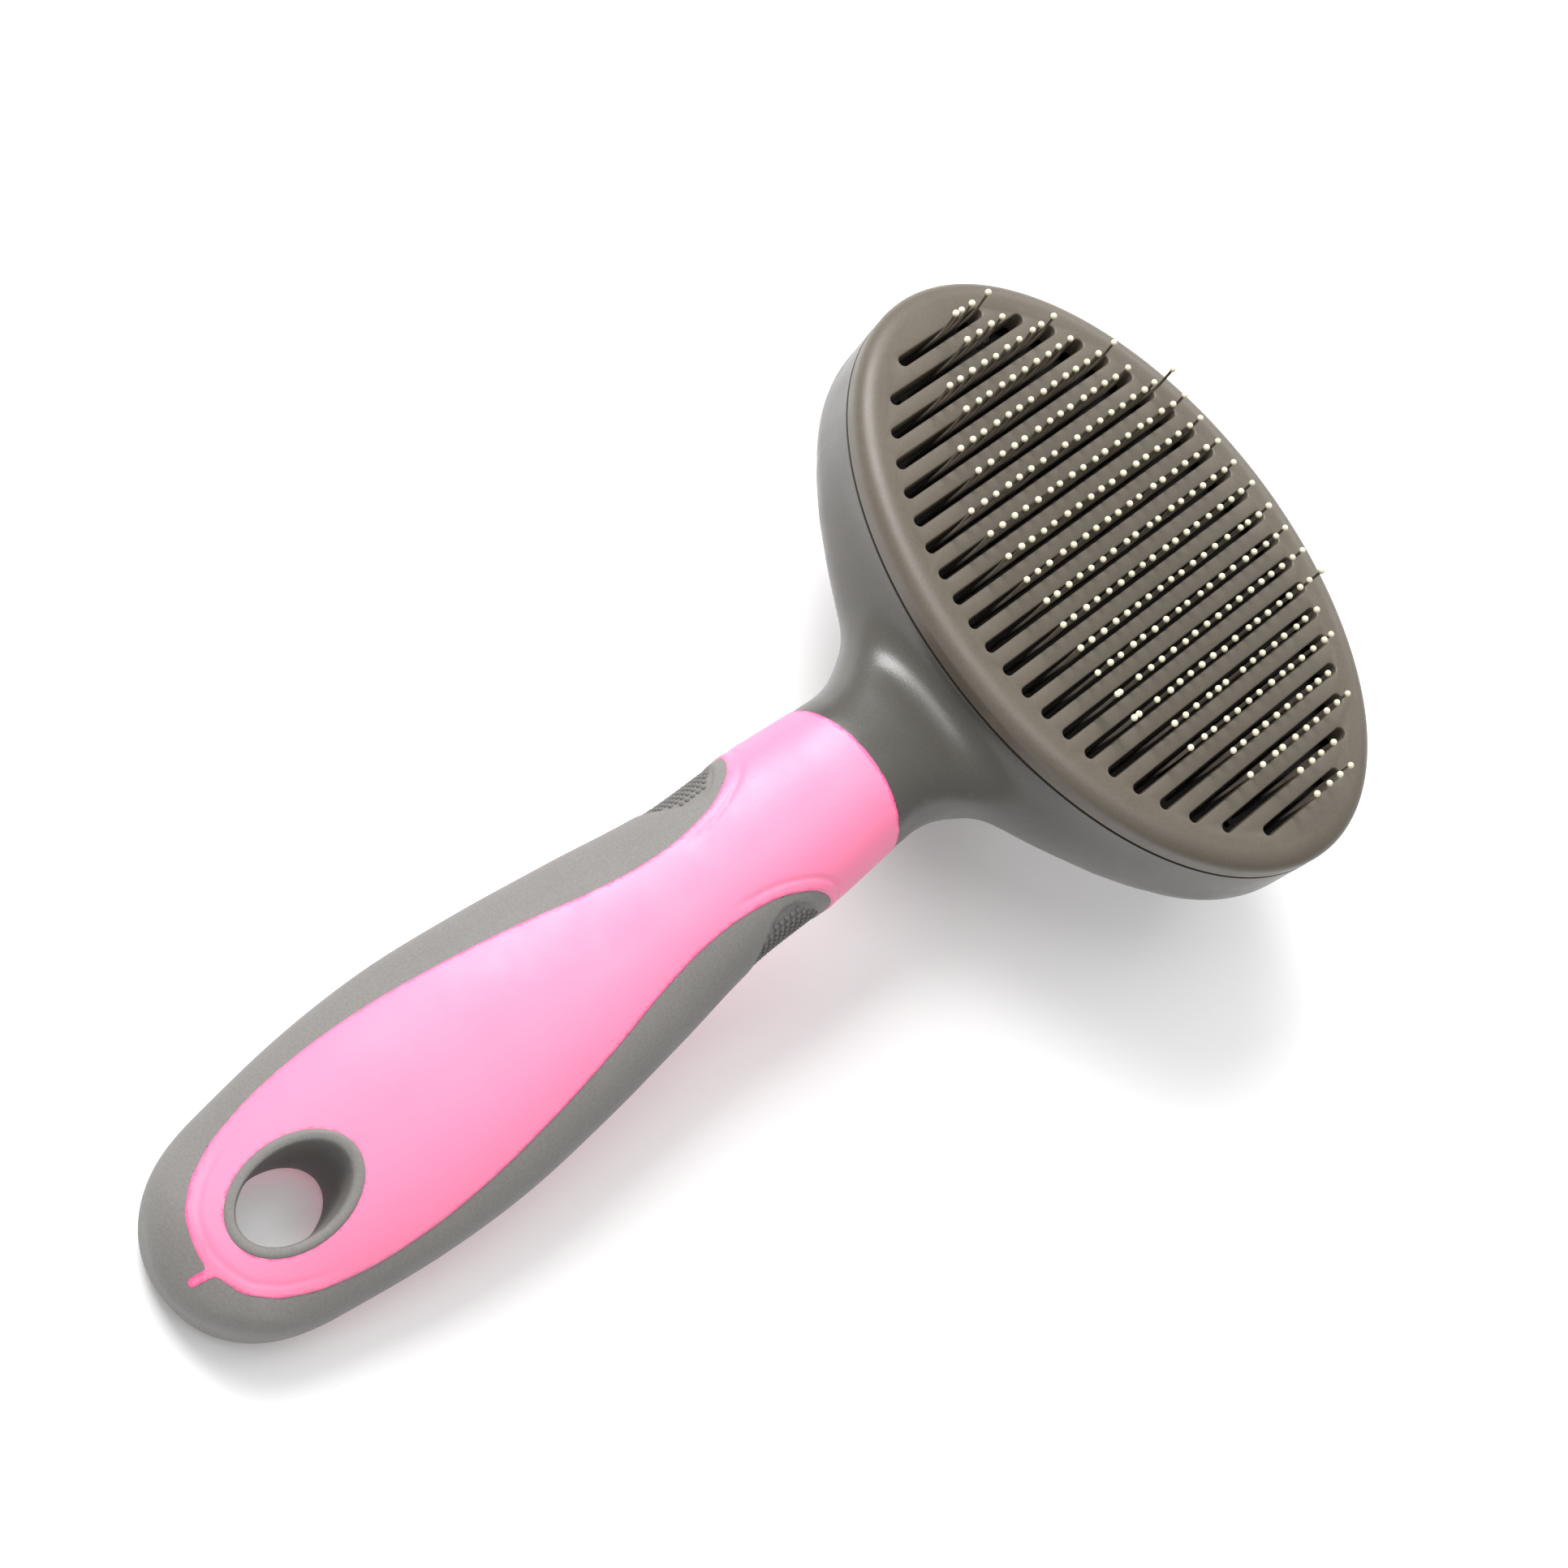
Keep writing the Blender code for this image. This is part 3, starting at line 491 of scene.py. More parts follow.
def housing_field(x, y, z):
    """Bowl, neck and collar in one skin, less the button's bore and the room inside."""
    yy = y - HEAD_Y
    bowl = rounded_floor(oval_field(x, yy, HEAD_A, HEAD_B), BACK_Z - z, BACK_ROUND)
    neck = smooth_max(neck_field(x, y, z), -TUCK - ferrule_line(x, y), LIP)
    neck = np.maximum(neck, y - NECK_TABLE[-1][0])
    form = smooth_min(bowl, neck, NECK_FILLET)
    r = np.hypot(x, yy)
    cone = COLLAR_TOP_R + (COLLAR_BASE_R - COLLAR_TOP_R) * (z - COLLAR_Z) / (BACK_Z - COLLAR_Z)
    collar = rounded_floor(r - cone, COLLAR_Z - z, COLLAR_LIP)
    collar = np.maximum(collar, z - FLOOR_Z)
    form = smooth_min(form, collar, COLLAR_FILLET)
    flare = FLARE * np.clip((COLLAR_Z + FLARE_HEIGHT - z) / FLARE_HEIGHT, 0, 1.5)
    bore = smooth_max(r - COLUMN_R - ROOM, np.abs(yy) - FLAT_Y - ROOM, 0.5) - flare
    bore = np.maximum(bore, z - FLOOR_Z - 3)
    form = smooth_max(form, -bore, 0.35)
    cavity = rounded_floor(oval_field(x, yy, HEAD_A - WALL, HEAD_B - WALL),
                           FLOOR_Z - z, BACK_ROUND - WALL)
    form = np.maximum(form, -cavity)
    post = np.hypot(np.abs(x) - BOSS_X, np.abs(yy) - BOSS_Y)
    boss = np.maximum(np.maximum(post - BOSS_R, z - BASE_LOW[2] + ROOM), BACK_Z + BOSS_FOOT - z)
    form = np.minimum(form, np.maximum(boss, PILOT_R - post))
    socket = np.hypot(x, z - handle_axis(y)) - SOCKET_R
    return np.maximum(form, -np.maximum(socket, y - NECK_END_Y - SOCKET_DEPTH))


# ---------------------------------------------------------------- materials

def node_kit(name):
    """A new material with its node tree, shader and place in the object."""
    material = bpy.data.materials.new(name)
    material.use_nodes = True
    nodes, links = material.node_tree.nodes, material.node_tree.links
    shader = nodes["Principled BSDF"]
    spot = nodes.new("ShaderNodeTexCoord").outputs["Object"]
    return material, nodes, links, shader, spot


def noise(nodes, links, spot, scale, detail=3.0, roughness=0.5, stretch=None):
    node = nodes.new("ShaderNodeTexNoise")
    node.inputs["Scale"].default_value = scale
    node.inputs["Detail"].default_value = detail
    node.inputs["Roughness"].default_value = roughness
    if stretch:
        mapping = nodes.new("ShaderNodeMapping")
        mapping.inputs["Scale"].default_value = stretch
        links.new(spot, mapping.inputs["Vector"])
        spot = mapping.outputs["Vector"]
    links.new(spot, node.inputs["Vector"])
    return node.outputs["Fac"]


def ramp(nodes, links, factor, low, high, start=0.3, end=0.7):
    """A colour between low and high as the factor goes from start to end."""
    node = nodes.new("ShaderNodeValToRGB")
    node.color_ramp.elements[0].position = start
    node.color_ramp.elements[0].color = (*low, 1)
    node.color_ramp.elements[1].position = end
    node.color_ramp.elements[1].color = (*high, 1)
    links.new(factor, node.inputs["Fac"])
    return node.outputs["Color"]


def spread(nodes, links, factor, low, high):
    """A value between low and high as the factor varies."""
    node = nodes.new("ShaderNodeMapRange")
    node.inputs["From Min"].default_value = 0.3
    node.inputs["From Max"].default_value = 0.7
    node.inputs["To Min"].default_value = low
    node.inputs["To Max"].default_value = high
    links.new(factor, node.inputs["Value"])
    return node.outputs["Result"]


def mix(nodes, links, factor, first, second, blend="MIX"):
    node = nodes.new("ShaderNodeMix")
    node.data_type = "RGBA"
    node.blend_type = blend
    if isinstance(factor, float):
        node.inputs["Factor"].default_value = factor
    else:
        links.new(factor, node.inputs["Factor"])
    for socket, colour in ((node.inputs["A"], first), (node.inputs["B"], second)):
        if isinstance(colour, tuple):
            socket.default_value = (*colour, 1)
        else:
            links.new(colour, socket)
    return node.outputs["Result"]


def bump(nodes, links, height, depth, strength=1.0, under=None):
    """A bump whose full height is depth, in millimetres."""
    node = nodes.new("ShaderNodeBump")
    node.inputs["Distance"].default_value = depth * MM
    node.inputs["Strength"].default_value = strength
    links.new(height, node.inputs["Height"])
    if under:
        links.new(under, node.inputs["Normal"])
    return node.outputs["Normal"]


def edges(nodes, links, start=0.515, end=0.60):
    """1 along convex edges, where wear or painted edge shade goes."""
    node = nodes.new("ShaderNodeNewGeometry")
    return ramp(nodes, links, node.outputs["Pointiness"], (0, 0, 0), (1, 1, 1), start, end)


def tone(colour, factor):
    """A colour made darker or lighter."""
    return tuple(min(1.0, channel * factor) for channel in colour)


def moulded(name, colour, roughness, grain=0.45, grain_depth=0.012, mottle=0.06, flow=None,
            wave_depth=0.03, speckle=0.10, wear=0.0, coat=0.0, specular=0.5, rim=None):
    """Moulded plastic or rubber: fine spark-eroded grain, soft flow clouds, speckle, wear and, if
    given, a painted edge shade.
    """
    material, nodes, links, shader, spot = node_kit(name)
    cloud = noise(nodes, links, spot, 42.0, 4.0, 0.55, flow)
    base = ramp(nodes, links, cloud, tone(colour, 1 - mottle), tone(colour, 1 + mottle))
    fine = noise(nodes, links, spot, 1000 / grain, 2.0, 0.6)
    base = mix(nodes, links, speckle, base,
               ramp(nodes, links, fine, tone(colour, 0.45), tone(colour, 1.7), 0.32, 0.68))
    if wear:
        edge = edges(nodes, links)
        worn = nodes.new("ShaderNodeMath")
        worn.operation = "MULTIPLY"
        worn.inputs[1].default_value = wear
        links.new(edge, worn.inputs[0])
        base = mix(nodes, links, worn.outputs[0], base, tone(colour, 1.55))
    # Painted shade: the rim colour, a darker tone, along convex edges, for the shaded edge walls of the
    # lips.
    if rim:
        base = mix(nodes, links, edges(nodes, links, 0.516, 0.55), base, rim)
    links.new(base, shader.inputs["Base Color"])
    handling = noise(nodes, links, spot, 130.0, 5.0, 0.6)
    links.new(spread(nodes, links, handling, roughness - 0.06, roughness + 0.06),
              shader.inputs["Roughness"])
    wave = bump(nodes, links, noise(nodes, links, spot, 90.0, 2.0), wave_depth, 0.5)
    links.new(bump(nodes, links, fine, grain_depth, 1.0, wave), shader.inputs["Normal"])
    shader.inputs["Coat Weight"].default_value = coat
    shader.inputs["Specular IOR Level"].default_value = specular
    material.diffuse_color = (*colour, 1)
    return material


def metal(name, colour, roughness, streak=(1, 1, 1), metallic=1.0, dirt=0.25, painted_shade_z=None):
    """Metal with tarnish and drawn streaks, and painted shade below a height if one is given."""
    material, nodes, links, shader, spot = node_kit(name)
    tarnish = noise(nodes, links, spot, 350.0, 4.0, 0.6)
    base = ramp(nodes, links, tarnish, tone(colour, 1 - dirt), tone(colour, 1 + dirt))
    # Painted shade: below the height the colour falls to a far darker tone, for the shade inside the
    # slots.
    if painted_shade_z:
        axes = nodes.new("ShaderNodeSeparateXYZ")
        links.new(spot, axes.inputs["Vector"])
        height = nodes.new("ShaderNodeMapRange")
        height.inputs["From Min"].default_value = (painted_shade_z - 1.6) * MM
        height.inputs["From Max"].default_value = (painted_shade_z + 2.2) * MM
        links.new(axes.outputs["Z"], height.inputs["Value"])
        base = mix(nodes, links, height.outputs["Result"], tone(colour, 0.12), base)
    links.new(base, shader.inputs["Base Color"])
    drawn = noise(nodes, links, spot, 1500.0, 3.0, 0.6, streak)
    links.new(spread(nodes, links, drawn, roughness - 0.08, roughness + 0.08),
              shader.inputs["Roughness"])
    links.new(bump(nodes, links, drawn, 0.01, 0.6), shader.inputs["Normal"])
    shader.inputs["Metallic"].default_value = metallic
    material.diffuse_color = (*colour, 1)
    return material


HEAD_GREY = (0.076, 0.071, 0.062)
PLATE_GREY = (0.112, 0.095, 0.073)
INNER_GREY = (0.030, 0.028, 0.025)
CAP_GREY = (0.20, 0.19, 0.175)
GRIP_GREY = (0.205, 0.196, 0.186)
PAD_GREY = (0.165, 0.159, 0.150)
PINK = (0.95, 0.225, 0.400)

head_plastic = moulded("head_plastic_look", HEAD_GREY, 0.33, grain=0.38, grain_depth=0.02,
                       wear=0.3, wave_depth=0.06, flow=(1, 0.5, 1), specular=0.6)
plate_plastic = moulded("plate_plastic_look", PLATE_GREY, 0.42, wear=0.45, mottle=0.05)
inner_plastic = moulded("inner_plastic_look", INNER_GREY, 0.55)
cap_plastic = moulded("cap_plastic_look", CAP_GREY, 0.38, wear=0.3)
# The pink's rim colour is painted shade: a deeper pink along its lips, for their edge walls in shadow.
pink_rubber = moulded("pink_rubber_look", PINK, 0.50, grain=0.30, grain_depth=0.006,
                      mottle=0.025, speckle=0.03, wave_depth=0.04, specular=0.8,
                      rim=(0.88, 0.08, 0.28))
grip_rubber = moulded("grip_rubber_look", GRIP_GREY, 0.62, grain=0.35, grain_depth=0.02,
                      speckle=0.14, specular=0.35)
pad_rubber = moulded("pad_rubber_look", PAD_GREY, 0.66, grain=0.3, specular=0.3)
# The wires are painted darker below the face, as the shade inside the slots.
wire_metal = metal("wire_look", (0.23, 0.20, 0.165), 0.42, (1, 1, 0.15), 0.75, painted_shade_z=FACE_Z)
screw_metal = metal("fastener_look", (0.56, 0.55, 0.53), 0.30)
spring_metal = metal("spring_look", (0.50, 0.49, 0.47), 0.28)
bead = moulded("bead_look", (0.76, 0.72, 0.53), 0.34, grain=0.25, mottle=0.10, speckle=0.06,
               coat=0.15)


# ---------------------------------------------------------------- the head

def make_housing():
    skin = net(housing_field, (-54, 14, COLLAR_Z - 1.2), (54, 101.5, RIM_Z + 2.0))
    mesh = mesh_from(*skin, "housing_shell")
    bm = bmesh.new()
    bm.from_mesh(mesh)
    everything = list(bm.verts) + list(bm.edges) + list(bm.faces)
    bmesh.ops.bisect_plane(bm, geom=everything, plane_co=(0, 0, (RIM_Z - 0.002) * MM),
                           plane_no=(0, 0, 1), clear_outer=True)
    rim = [edge for edge in bm.edges if edge.is_boundary]
    bmesh.ops.bridge_loops(bm, edges=rim)
    bm.to_mesh(mesh)
    bm.free()
    housing = place("housing_shell", mesh, head_plastic)
    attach(housing, "brush")
    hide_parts("head_housing")


def row_x(row):
    return (row - (ROW_COUNT - 1) / 2) * SLOT_PITCH


def slot_ring(row, z, grow=0.0):
    """A slot's outline at a height: two straight sides and round ends."""
    x = row_x(row)
    half = FIELD_B * math.sqrt(1 - (x / FIELD_A) ** 2)
    r = SLOT_WIDTH / 2
    ring = []
    for end in (1, -1):
        for k in range(13):
            angle = math.pi * k / 12
            ring.append((x + end * (r + grow) * math.cos(angle),
                         HEAD_Y + end * (half - r + (r + grow) * math.sin(angle)), z))
    return ring


def make_plate():
    """The slotted plate: a flat face that rolls over to its side, and legs underneath."""
    low, sides = RIM_Z + 0.4, 256
    roll_in, roll_down, steps = 3.4, 2.3, 12
    rings = [ellipse_ring(HEAD_A - 0.25, HEAD_B - 0.25, low, sides),
             ellipse_ring(HEAD_A - 0.02, HEAD_B - 0.02, low + 0.2, sides)]
    for k in range(steps + 1):
        angle = math.pi / 2 * k / steps
        inset = roll_in * (1 - math.cos(angle)) + 0.02
        rings.append(ellipse_ring(HEAD_A - inset, HEAD_B - inset,
                                  FACE_Z - roll_down * (1 - math.sin(angle)), sides))
    plate = mesh_from(*loft(rings), "face_plate_shell")
    pusher_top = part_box("pusher")[1][2] / MM
    foot = PLATE_LOW[2]
    places = [(sx * LEG_X, HEAD_Y + sy * LEG_Y) for sx in (-1, 1) for sy in (-1, 1)]
    for (half_x, half_y), z0, z1 in ((LEG_ROOT, pusher_top + ROOM, low + 1.0),
                                     (LEG_SHANK, foot, pusher_top + 1.0),
                                     (LEG_FOOT, foot, foot + 0.8)):
        legs = joined([box_mesh((x - half_x, y - half_y, z0), (x + half_x, y + half_y, z1))
                       for x, y in places])
        plate = boolean(plate, mesh_from(*legs, "legs"), "UNION")
    lip = ((low - 1, 0), (FACE_Z - 0.32, 0), (FACE_Z - 0.16, 0.04), (FACE_Z - 0.05, 0.14),
           (FACE_Z + 0.01, 0.30), (FACE_Z + 1.0, 0.30))
    cutters = [loft([slot_ring(row, z, grow) for z, grow in lip]) for row in range(ROW_COUNT)]
    plate = boolean(plate, mesh_from(*joined(cutters), "slots"))
    shell = place("face_plate_shell", plate, plate_plastic)
    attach(shell, "ejector")
    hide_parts("face_plate")


def tube(path, guide, radius, sides=8):
    """A round wire along points; each of its rings starts on the guide's side."""
    path = np.asarray(path, float)
    along = np.gradient(path, axis=0)
    along /= np.linalg.norm(along, axis=1)[:, None]
    across = guide - along * (guide * along).sum(1)[:, None]
    across /= np.linalg.norm(across, axis=1)[:, None]
    third = np.cross(along, across)
    angle = np.arange(sides) * 2 * math.pi / sides
    ring = (across[:, None] * np.cos(angle)[None, :, None]
            + third[:, None] * np.sin(angle)[None, :, None])
    return loft(path[:, None] + radius * ring)


def ball(centre, radius, sides=14, rings=9):
    points = []
    for i in range(rings):
        angle = math.pi * (i + 0.5) / rings - math.pi / 2
        points.append([(centre[0] + radius * math.cos(angle) * math.cos(t),
                        centre[1] + radius * math.cos(angle) * math.sin(t),
                        centre[2] + radius * math.sin(angle))
                       for t in np.arange(sides) * 2 * math.pi / sides])
    return loft(points)


def wire_path(x, root_y, tip_y, tip_z, sway):
    """From the strip: a straight lean, a rounded knee just above the face, then upright."""
    root = np.array([x, root_y, ROW_LOW[2] + 0.5])
    knee = np.array([x, tip_y + PIN_HOOK, FACE_Z + KNEE_RISE])
    tip = np.array([x + sway, tip_y, tip_z])
    points = [root, root + (knee - root) * 0.45, root + (knee - root) * 0.72]
    start, stop = knee + (root - knee) * 0.2, knee + (tip - knee) * 0.28
    for k in range(5):
        t = (k + 0.5) / 5
        points.append(start * (1 - t) ** 2 + 2 * knee * t * (1 - t) + stop * t**2)
    return points + [knee + (tip - knee) * 0.6, tip]


def make_pins():
    """Rows of wires in staple pairs, each with a cream bead, all a little out of line."""
    rng = random.Random(2217)
    for row in range(ROW_COUNT):
        x = row_x(row)
        count = PINS_IN_ROW[min(row, ROW_COUNT - 1 - row)]
        places = [HEAD_Y + PIN_SHIFT + (k - (count - 1) / 2) * PIN_SPACING for k in range(count)]
        strip_z = ROW_LOW[2]
        first, last = places[0] - PIN_LEAN - 1, places[-1] - PIN_LEAN + 1
        wires, beads = [box_mesh((x - 0.6, first, strip_z), (x + 0.6, last, strip_z + 1))], []
        for k, y in enumerate(places):
            pair = PAIR_SHIFT if k % 2 else -PAIR_SHIFT
            tip_y = y + pair + rng.gauss(0, TIP_SCATTER)
            tip_z = TIP_Z - BALL_R - 0.01 - rng.random() * TIP_DROP
            sway = max(SWAY_LIMIT, min(0.0, rng.gauss(-0.22 - 0.003 * abs(x), 0.07)))
            if rng.random() < BENT_SHARE:
                tip_y += rng.choice((-BENT_BY, BENT_BY))
            tip_y += SPLAYED.get((row, k), 0.0)
            path = wire_path(x + rng.gauss(0, ROOT_SCATTER), y - PIN_LEAN, tip_y, tip_z, sway)
            wires.append(tube(path, np.array([1.0, 0, 0]), WIRE_R))
            beads.append(ball((x + sway, tip_y, tip_z), BALL_R * rng.uniform(0.90, 1.0)))
        points, faces = joined(wires + beads)
        mesh = mesh_from(points, faces, f"pins_{row + 1:02d}")
        wire_faces = sum(len(part[1]) for part in wires)
        facing_out(mesh)
        pins = place(f"pins_{row + 1:02d}", mesh, wire_metal, bead)
        for n, face in enumerate(mesh.polygons):
            face.material_index = int(n >= wire_faces)
        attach(pins, "brush")
        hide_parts(f"pin_row_{row + 1:02d}")


def make_button():
    """The oval button: a thick rounded rim, a groove, and a floor with small raised dots."""
    a, b = CAP_HIGH[0], (CAP_HIGH[1] - CAP_LOW[1]) / 2
    profile = [(4.5, CAP_TOP), (0.7, CAP_TOP), (0.25, CAP_TOP - 0.25), (0.0, CAP_TOP - 0.8),
               (0.0, 2.2), (0.15, 1.35), (0.6, 0.6), (1.25, 0.15), (2.0, 0.0), (2.5, 0.1), (2.85, 0.45),
               (3.0, 0.95), (3.2, 1.0), (3.4, 0.95), (3.55, 0.62), (3.8, 0.5), (6.5, 0.5)]
    rings = [ellipse_ring(a - inset, b - inset, z, 128) for inset, z in profile]
    dots = []
    for line, count in enumerate(CAP_DOT_ROWS):
        for k in range(count):
            x = (k - (count - 1) / 2) * CAP_DOT_PITCH
            y = HEAD_Y + (line - 3) * CAP_DOT_PITCH * 0.86
            dome = [[(x + r * math.cos(t), y + r * math.sin(t), z)
                     for t in np.arange(16) * math.pi / 8]
                    for r, z in CAP_DOT_PROFILE]
            dots.append(loft(dome))
    clips = [box_mesh((-half_x, HEAD_Y - half_y, z0), (half_x, HEAD_Y + half_y, z1))
             for half_x, half_y, z0, z1 in (CAP_BOSS, CAP_BARB)]
    mesh = facing_out(mesh_from(*joined([loft(rings)] + clips + dots), "button_dish"))
    button = place("button_dish", mesh, cap_plastic)
    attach(button, "ejector")
    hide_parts("button_cap")


def make_plunger():
    """D-section column with softened edges, a flange, a spring bore and latch windows."""
    low, high = (np.array(corner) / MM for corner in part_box("plunger"))

    def field(x, y, z):
        yy = y - HEAD_Y
        r = np.hypot(x, yy)
        form = smooth_max(r - COLUMN_R, np.abs(yy) - FLAT_Y, 0.7)
        form = smooth_max(form, low[2] - z, 0.5)
        flange = np.maximum(r - high[0], high[2] - FLANGE - z)
        form = np.minimum(form, flange)
        form = np.maximum(form, z - high[2])
        form = np.maximum(form, -np.maximum(r - SPRING_BORE_R, SPRING_BORE_FOOT - z))
        window = np.maximum(np.abs(x) - WINDOW_HALF_X, np.abs(z - WINDOW_Z) - WINDOW_HALF_Z)
        pocket = np.maximum(np.abs(x) - POCKET_HALF_X, np.abs(yy) - POCKET_HALF_Y)
        form = np.maximum(form, -np.minimum(window, np.maximum(pocket, z - POCKET_TOP)))
        pilot = np.maximum(np.hypot(np.abs(x) - PUSHER_SCREW_X, yy) - PILOT_R,
                           high[2] - PUSHER_SCREW_DEPTH - z)
        return np.maximum(form, -pilot)

    reach = 14.5
    skin = net(field, (-reach, HEAD_Y - reach, low[2] - 1), (reach, HEAD_Y + reach, high[2] + 1),
               SKIN_PITCH * 0.8)
    column = place("plunger_column", mesh_from(*skin, "plunger_column"), head_plastic)
    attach(column, "ejector")
    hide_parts("plunger")


def make_spring():
    """The return spring: a coil with a closed turn at each end."""
    low, high = (np.array(corner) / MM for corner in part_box("return_spring"))
    radius, flat = high[0] - SPRING_WIRE_R, 2 * SPRING_WIRE_R
    rise = high[2] - low[2] - 2 * flat
    end = np.linspace(0, 1, 17)
    middle = np.linspace(0, 1, SPRING_TURNS * 24)
    climb = np.concatenate([end[:-1] * flat / 2, flat / 2 + middle * rise,
                            flat / 2 + rise + end[1:] * flat / 2])
    turn = np.concatenate([end[:-1] - 1, middle * SPRING_TURNS, SPRING_TURNS + end[1:]])
    out = np.stack([np.cos(turn * 2 * math.pi), np.sin(turn * 2 * math.pi), 0 * turn], 1)
    path = radius * out + np.stack([0 * climb, HEAD_Y + 0 * climb, low[2] + flat / 2 + climb], 1)
    mesh = mesh_from(*tube(path, out, SPRING_WIRE_R, 10), "spring_coil")
    coil = place("spring_coil", mesh, spring_metal)
    facing_out(coil.data)
    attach(coil, "brush")
    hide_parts("return_spring")
    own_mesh(coil)


# ---------------------------------------------------------------- the handle

def make_sleeve():
    skin = net(sleeve_field, *HANDLE_ROOM)
    sleeve = place("sleeve_skin", mesh_from(*skin, "sleeve_skin"), pink_rubber)
    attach(sleeve, "brush")
    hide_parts("pink_sleeve")


def make_band():
    skin = net(band_field, *HANDLE_ROOM)
    band = place("band_skin", mesh_from(*skin, "band_skin"), grip_rubber)
    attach(band, "brush")
    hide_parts("grip_band")


def make_pad_dots():
    """Small round dots in the two thumb pads, seated on the recessed rubber."""
    seats = []
    for line in range(-8, 9):
        for k in range(-8, 9):
            along, up = k * DOT_PITCH, line * DOT_PITCH
            if math.hypot(along / (PAD_HALF - DOT_MARGIN), up / (PAD_RISE - DOT_MARGIN)) < 1:
                seats.append((PAD_Y + along, handle_axis(PAD_Y + along) + up))
    seats = np.array(seats)
    for side, name in ((-1, "left"), (1, "right")):
        y, up = seats[:, 0], seats[:, 1] - handle_axis(seats[:, 0])
        rise = np.abs(up) / np.interp(y, *HANDLE_T)
        x = side * np.interp(y, *HANDLE_W) * (1 - rise**POWER) ** (1 / POWER)
        points = settle(np.stack([x, *seats.T], 1), band_form, 1.0)
        dots = []
        for centre in points:
            out = np.array([(handle_field(*(centre + d)) - handle_field(*(centre - d)))
                            for d in 0.05 * np.eye(3)])
            turn = Vector(out).to_track_quat("Z", "Y").to_matrix()
            dome = []
            for r, z in DOT_PROFILE:
                dome.append([list(Vector(centre)
                                  + turn @ Vector((r * math.cos(t), r * math.sin(t), z)))
                             for t in np.arange(10) * math.pi / 5])
            dots.append(loft(dome))
        mesh = facing_out(mesh_from(*joined(dots), f"pad_dots_{name}"))
        piece = place(f"pad_dots_{name}", mesh, pad_rubber)
        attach(piece, "brush")


def handle_height(x, y, up):
    """Height of the handle's top (up = 1) or underside (up = -1) at a plan point."""
    w, t = np.interp(y, *HANDLE_W), np.interp(y, *HANDLE_T)
    lift = t * np.maximum(1 - (np.abs(x) / w) ** POWER, 0.01) ** (1 / POWER)
    return handle_axis(y) + up * lift


def make_eyelet():
    """An oval ring round the hang hole, with a soft lip above and below."""
    sides = 128
    angle = np.arange(sides) * 2 * math.pi / sides
    wall, lip = EYELET_WALL, 0.25
    rings = []

    def ring(out, up, rise):
        x = (HOLE_A + out) * np.cos(angle)
        y = HOLE_Y + (HOLE_B + out) * np.sin(angle)
        return np.stack([x, y, handle_height(x, y, up) + up * rise], 1)

    for up in (1, -1):
        turn = [(wall, -1.6), (wall, -0.2), (wall - 0.06, 0.02), (wall - 0.25, lip * 0.65),
                (wall - 0.5, lip), (wall - 0.8, lip), (0.42, lip * 0.5), (0.2, -0.1),
                (0.06, -0.6), (0.0, -1.6), (-0.15, -4.0)]
        rings += [ring(out, up, rise) for out, rise in (turn if up > 0 else turn[::-1])]
    mesh = facing_out(mesh_from(*loft(rings, closed=True), "eyelet_ring"))
    eyelet = place("eyelet_ring", mesh, grip_rubber)
    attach(eyelet, "brush")
    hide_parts("hang_eyelet")


def dress_frame():
    """Better finishes for the CAD nodes that stay."""
    looks = {"handle_core": inner_plastic, "pin_base": inner_plastic, "pusher": inner_plastic}
    for n in range(4):
        looks[f"base_screw_{n + 1}"] = screw_metal
    for n in range(2):
        looks[f"pusher_screw_{n + 1}"] = screw_metal
    for name, material in looks.items():
        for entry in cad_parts[name].material_slots:
            entry.material = material


# ---------------------------------------------------------------- the studio

CAMERA = Vector((10.5, -184.2, 389.7)) * MM
VIEW_FORWARD = Vector((-0.03756, 0.47792, -0.8776))
VIEW_RIGHT = Vector((0.60926, 0.70706, 0.35898))
LENS = 63.72
BRUSH_MIDDLE = Vector((0, 0.02, 0.03))


def make_camera():
    data = bpy.data.cameras.new("camera")
    data.lens, data.sensor_width = LENS, 36.0
    data.clip_start, data.clip_end = 0.01, 20.0
    back = -VIEW_FORWARD.normalized()
    right = (VIEW_RIGHT - back * VIEW_RIGHT.dot(back)).normalized()
    turn = Matrix((right, back.cross(right), back)).transposed()
    camera = bpy.data.objects.new("camera", data)
    camera.matrix_world = Matrix.Translation(CAMERA) @ turn.to_4x4()
    bpy.context.scene.collection.objects.link(camera)
    bpy.context.scene.camera = camera


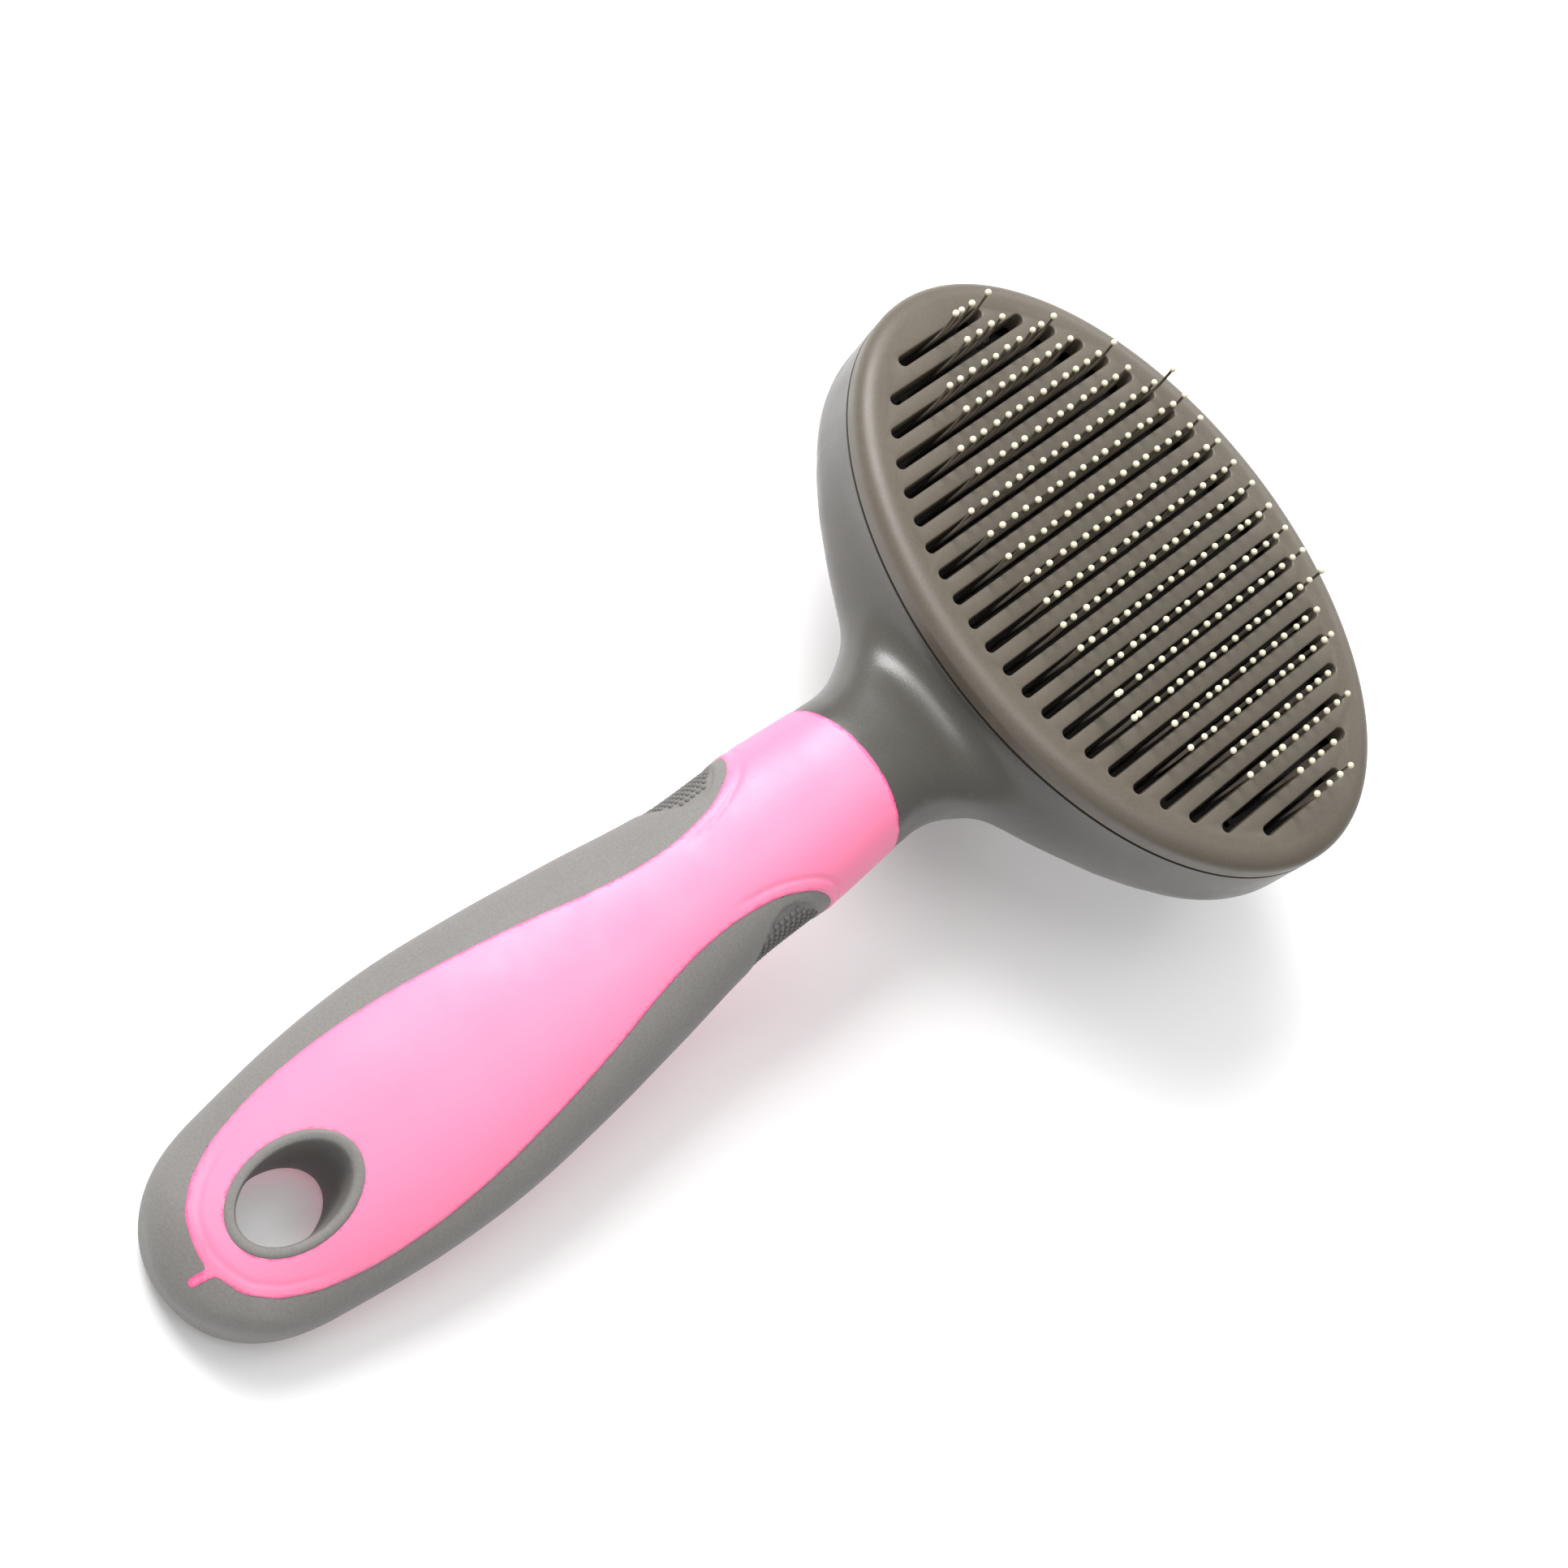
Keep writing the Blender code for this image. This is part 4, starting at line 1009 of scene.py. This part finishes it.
def make_floor():
    """A wide sheet of white paper just under the brush."""
    size, cells, below = 2600.0, 24, -0.02
    points = [(size * (i / cells - 0.5), size * (j / cells - 0.5), below)
              for i in range(cells + 1) for j in range(cells + 1)]
    faces = [(i * (cells + 1) + j, (i + 1) * (cells + 1) + j,
              (i + 1) * (cells + 1) + j + 1, i * (cells + 1) + j + 1)
             for i in range(cells) for j in range(cells)]
    material, nodes, links, shader, spot = node_kit("backdrop_paper")
    cloud = noise(nodes, links, spot, 3.0, 2.0)
    links.new(ramp(nodes, links, cloud, (0.90, 0.90, 0.90), (0.93, 0.93, 0.93)),
              shader.inputs["Base Color"])
    shader.inputs["Roughness"].default_value = 0.9
    shader.inputs["Specular IOR Level"].default_value = 0.1
    shader.inputs["Emission Color"].default_value = (1, 1, 1, 1)
    shader.inputs["Emission Strength"].default_value = 0.10
    floor = place("backdrop", mesh_from(points, faces, "backdrop"), material)


def area_light(name, spot, size, power):
    """A white rectangular light at a spot, turned to the middle of the brush."""
    data = bpy.data.lights.new(name, "AREA")
    data.shape, data.size, data.size_y = "RECTANGLE", size[0], size[1]
    data.energy = power
    light = bpy.data.objects.new(name, data)
    light.location = spot
    light.rotation_euler = (BRUSH_MIDDLE - Vector(spot)).to_track_quat("-Z", "Y").to_euler()
    bpy.context.scene.collection.objects.link(light)


def make_light():
    world = bpy.data.worlds.new("studio")
    world.use_nodes = True
    world.node_tree.nodes["Background"].inputs["Color"].default_value = (1, 1, 1, 1)
    world.node_tree.nodes["Background"].inputs["Strength"].default_value = 0.42
    bpy.context.scene.world = world
    area_light("key", (-0.52, 0.08, 0.74), (0.42, 0.50), 9.0)
    area_light("top", (-0.05, 0.0, 0.95), (0.5, 0.5), 3.0)
    area_light("rim", (-0.10, 0.75, 0.35), (0.6, 0.3), 1.8)
    bpy.context.scene.view_settings.view_transform = "Standard"


make_camera()
make_floor()
make_light()
make_housing()
make_plate()
make_pins()
make_button()
make_plunger()
make_spring()
make_sleeve()
make_band()
make_pad_dots()
make_eyelet()
dress_frame()
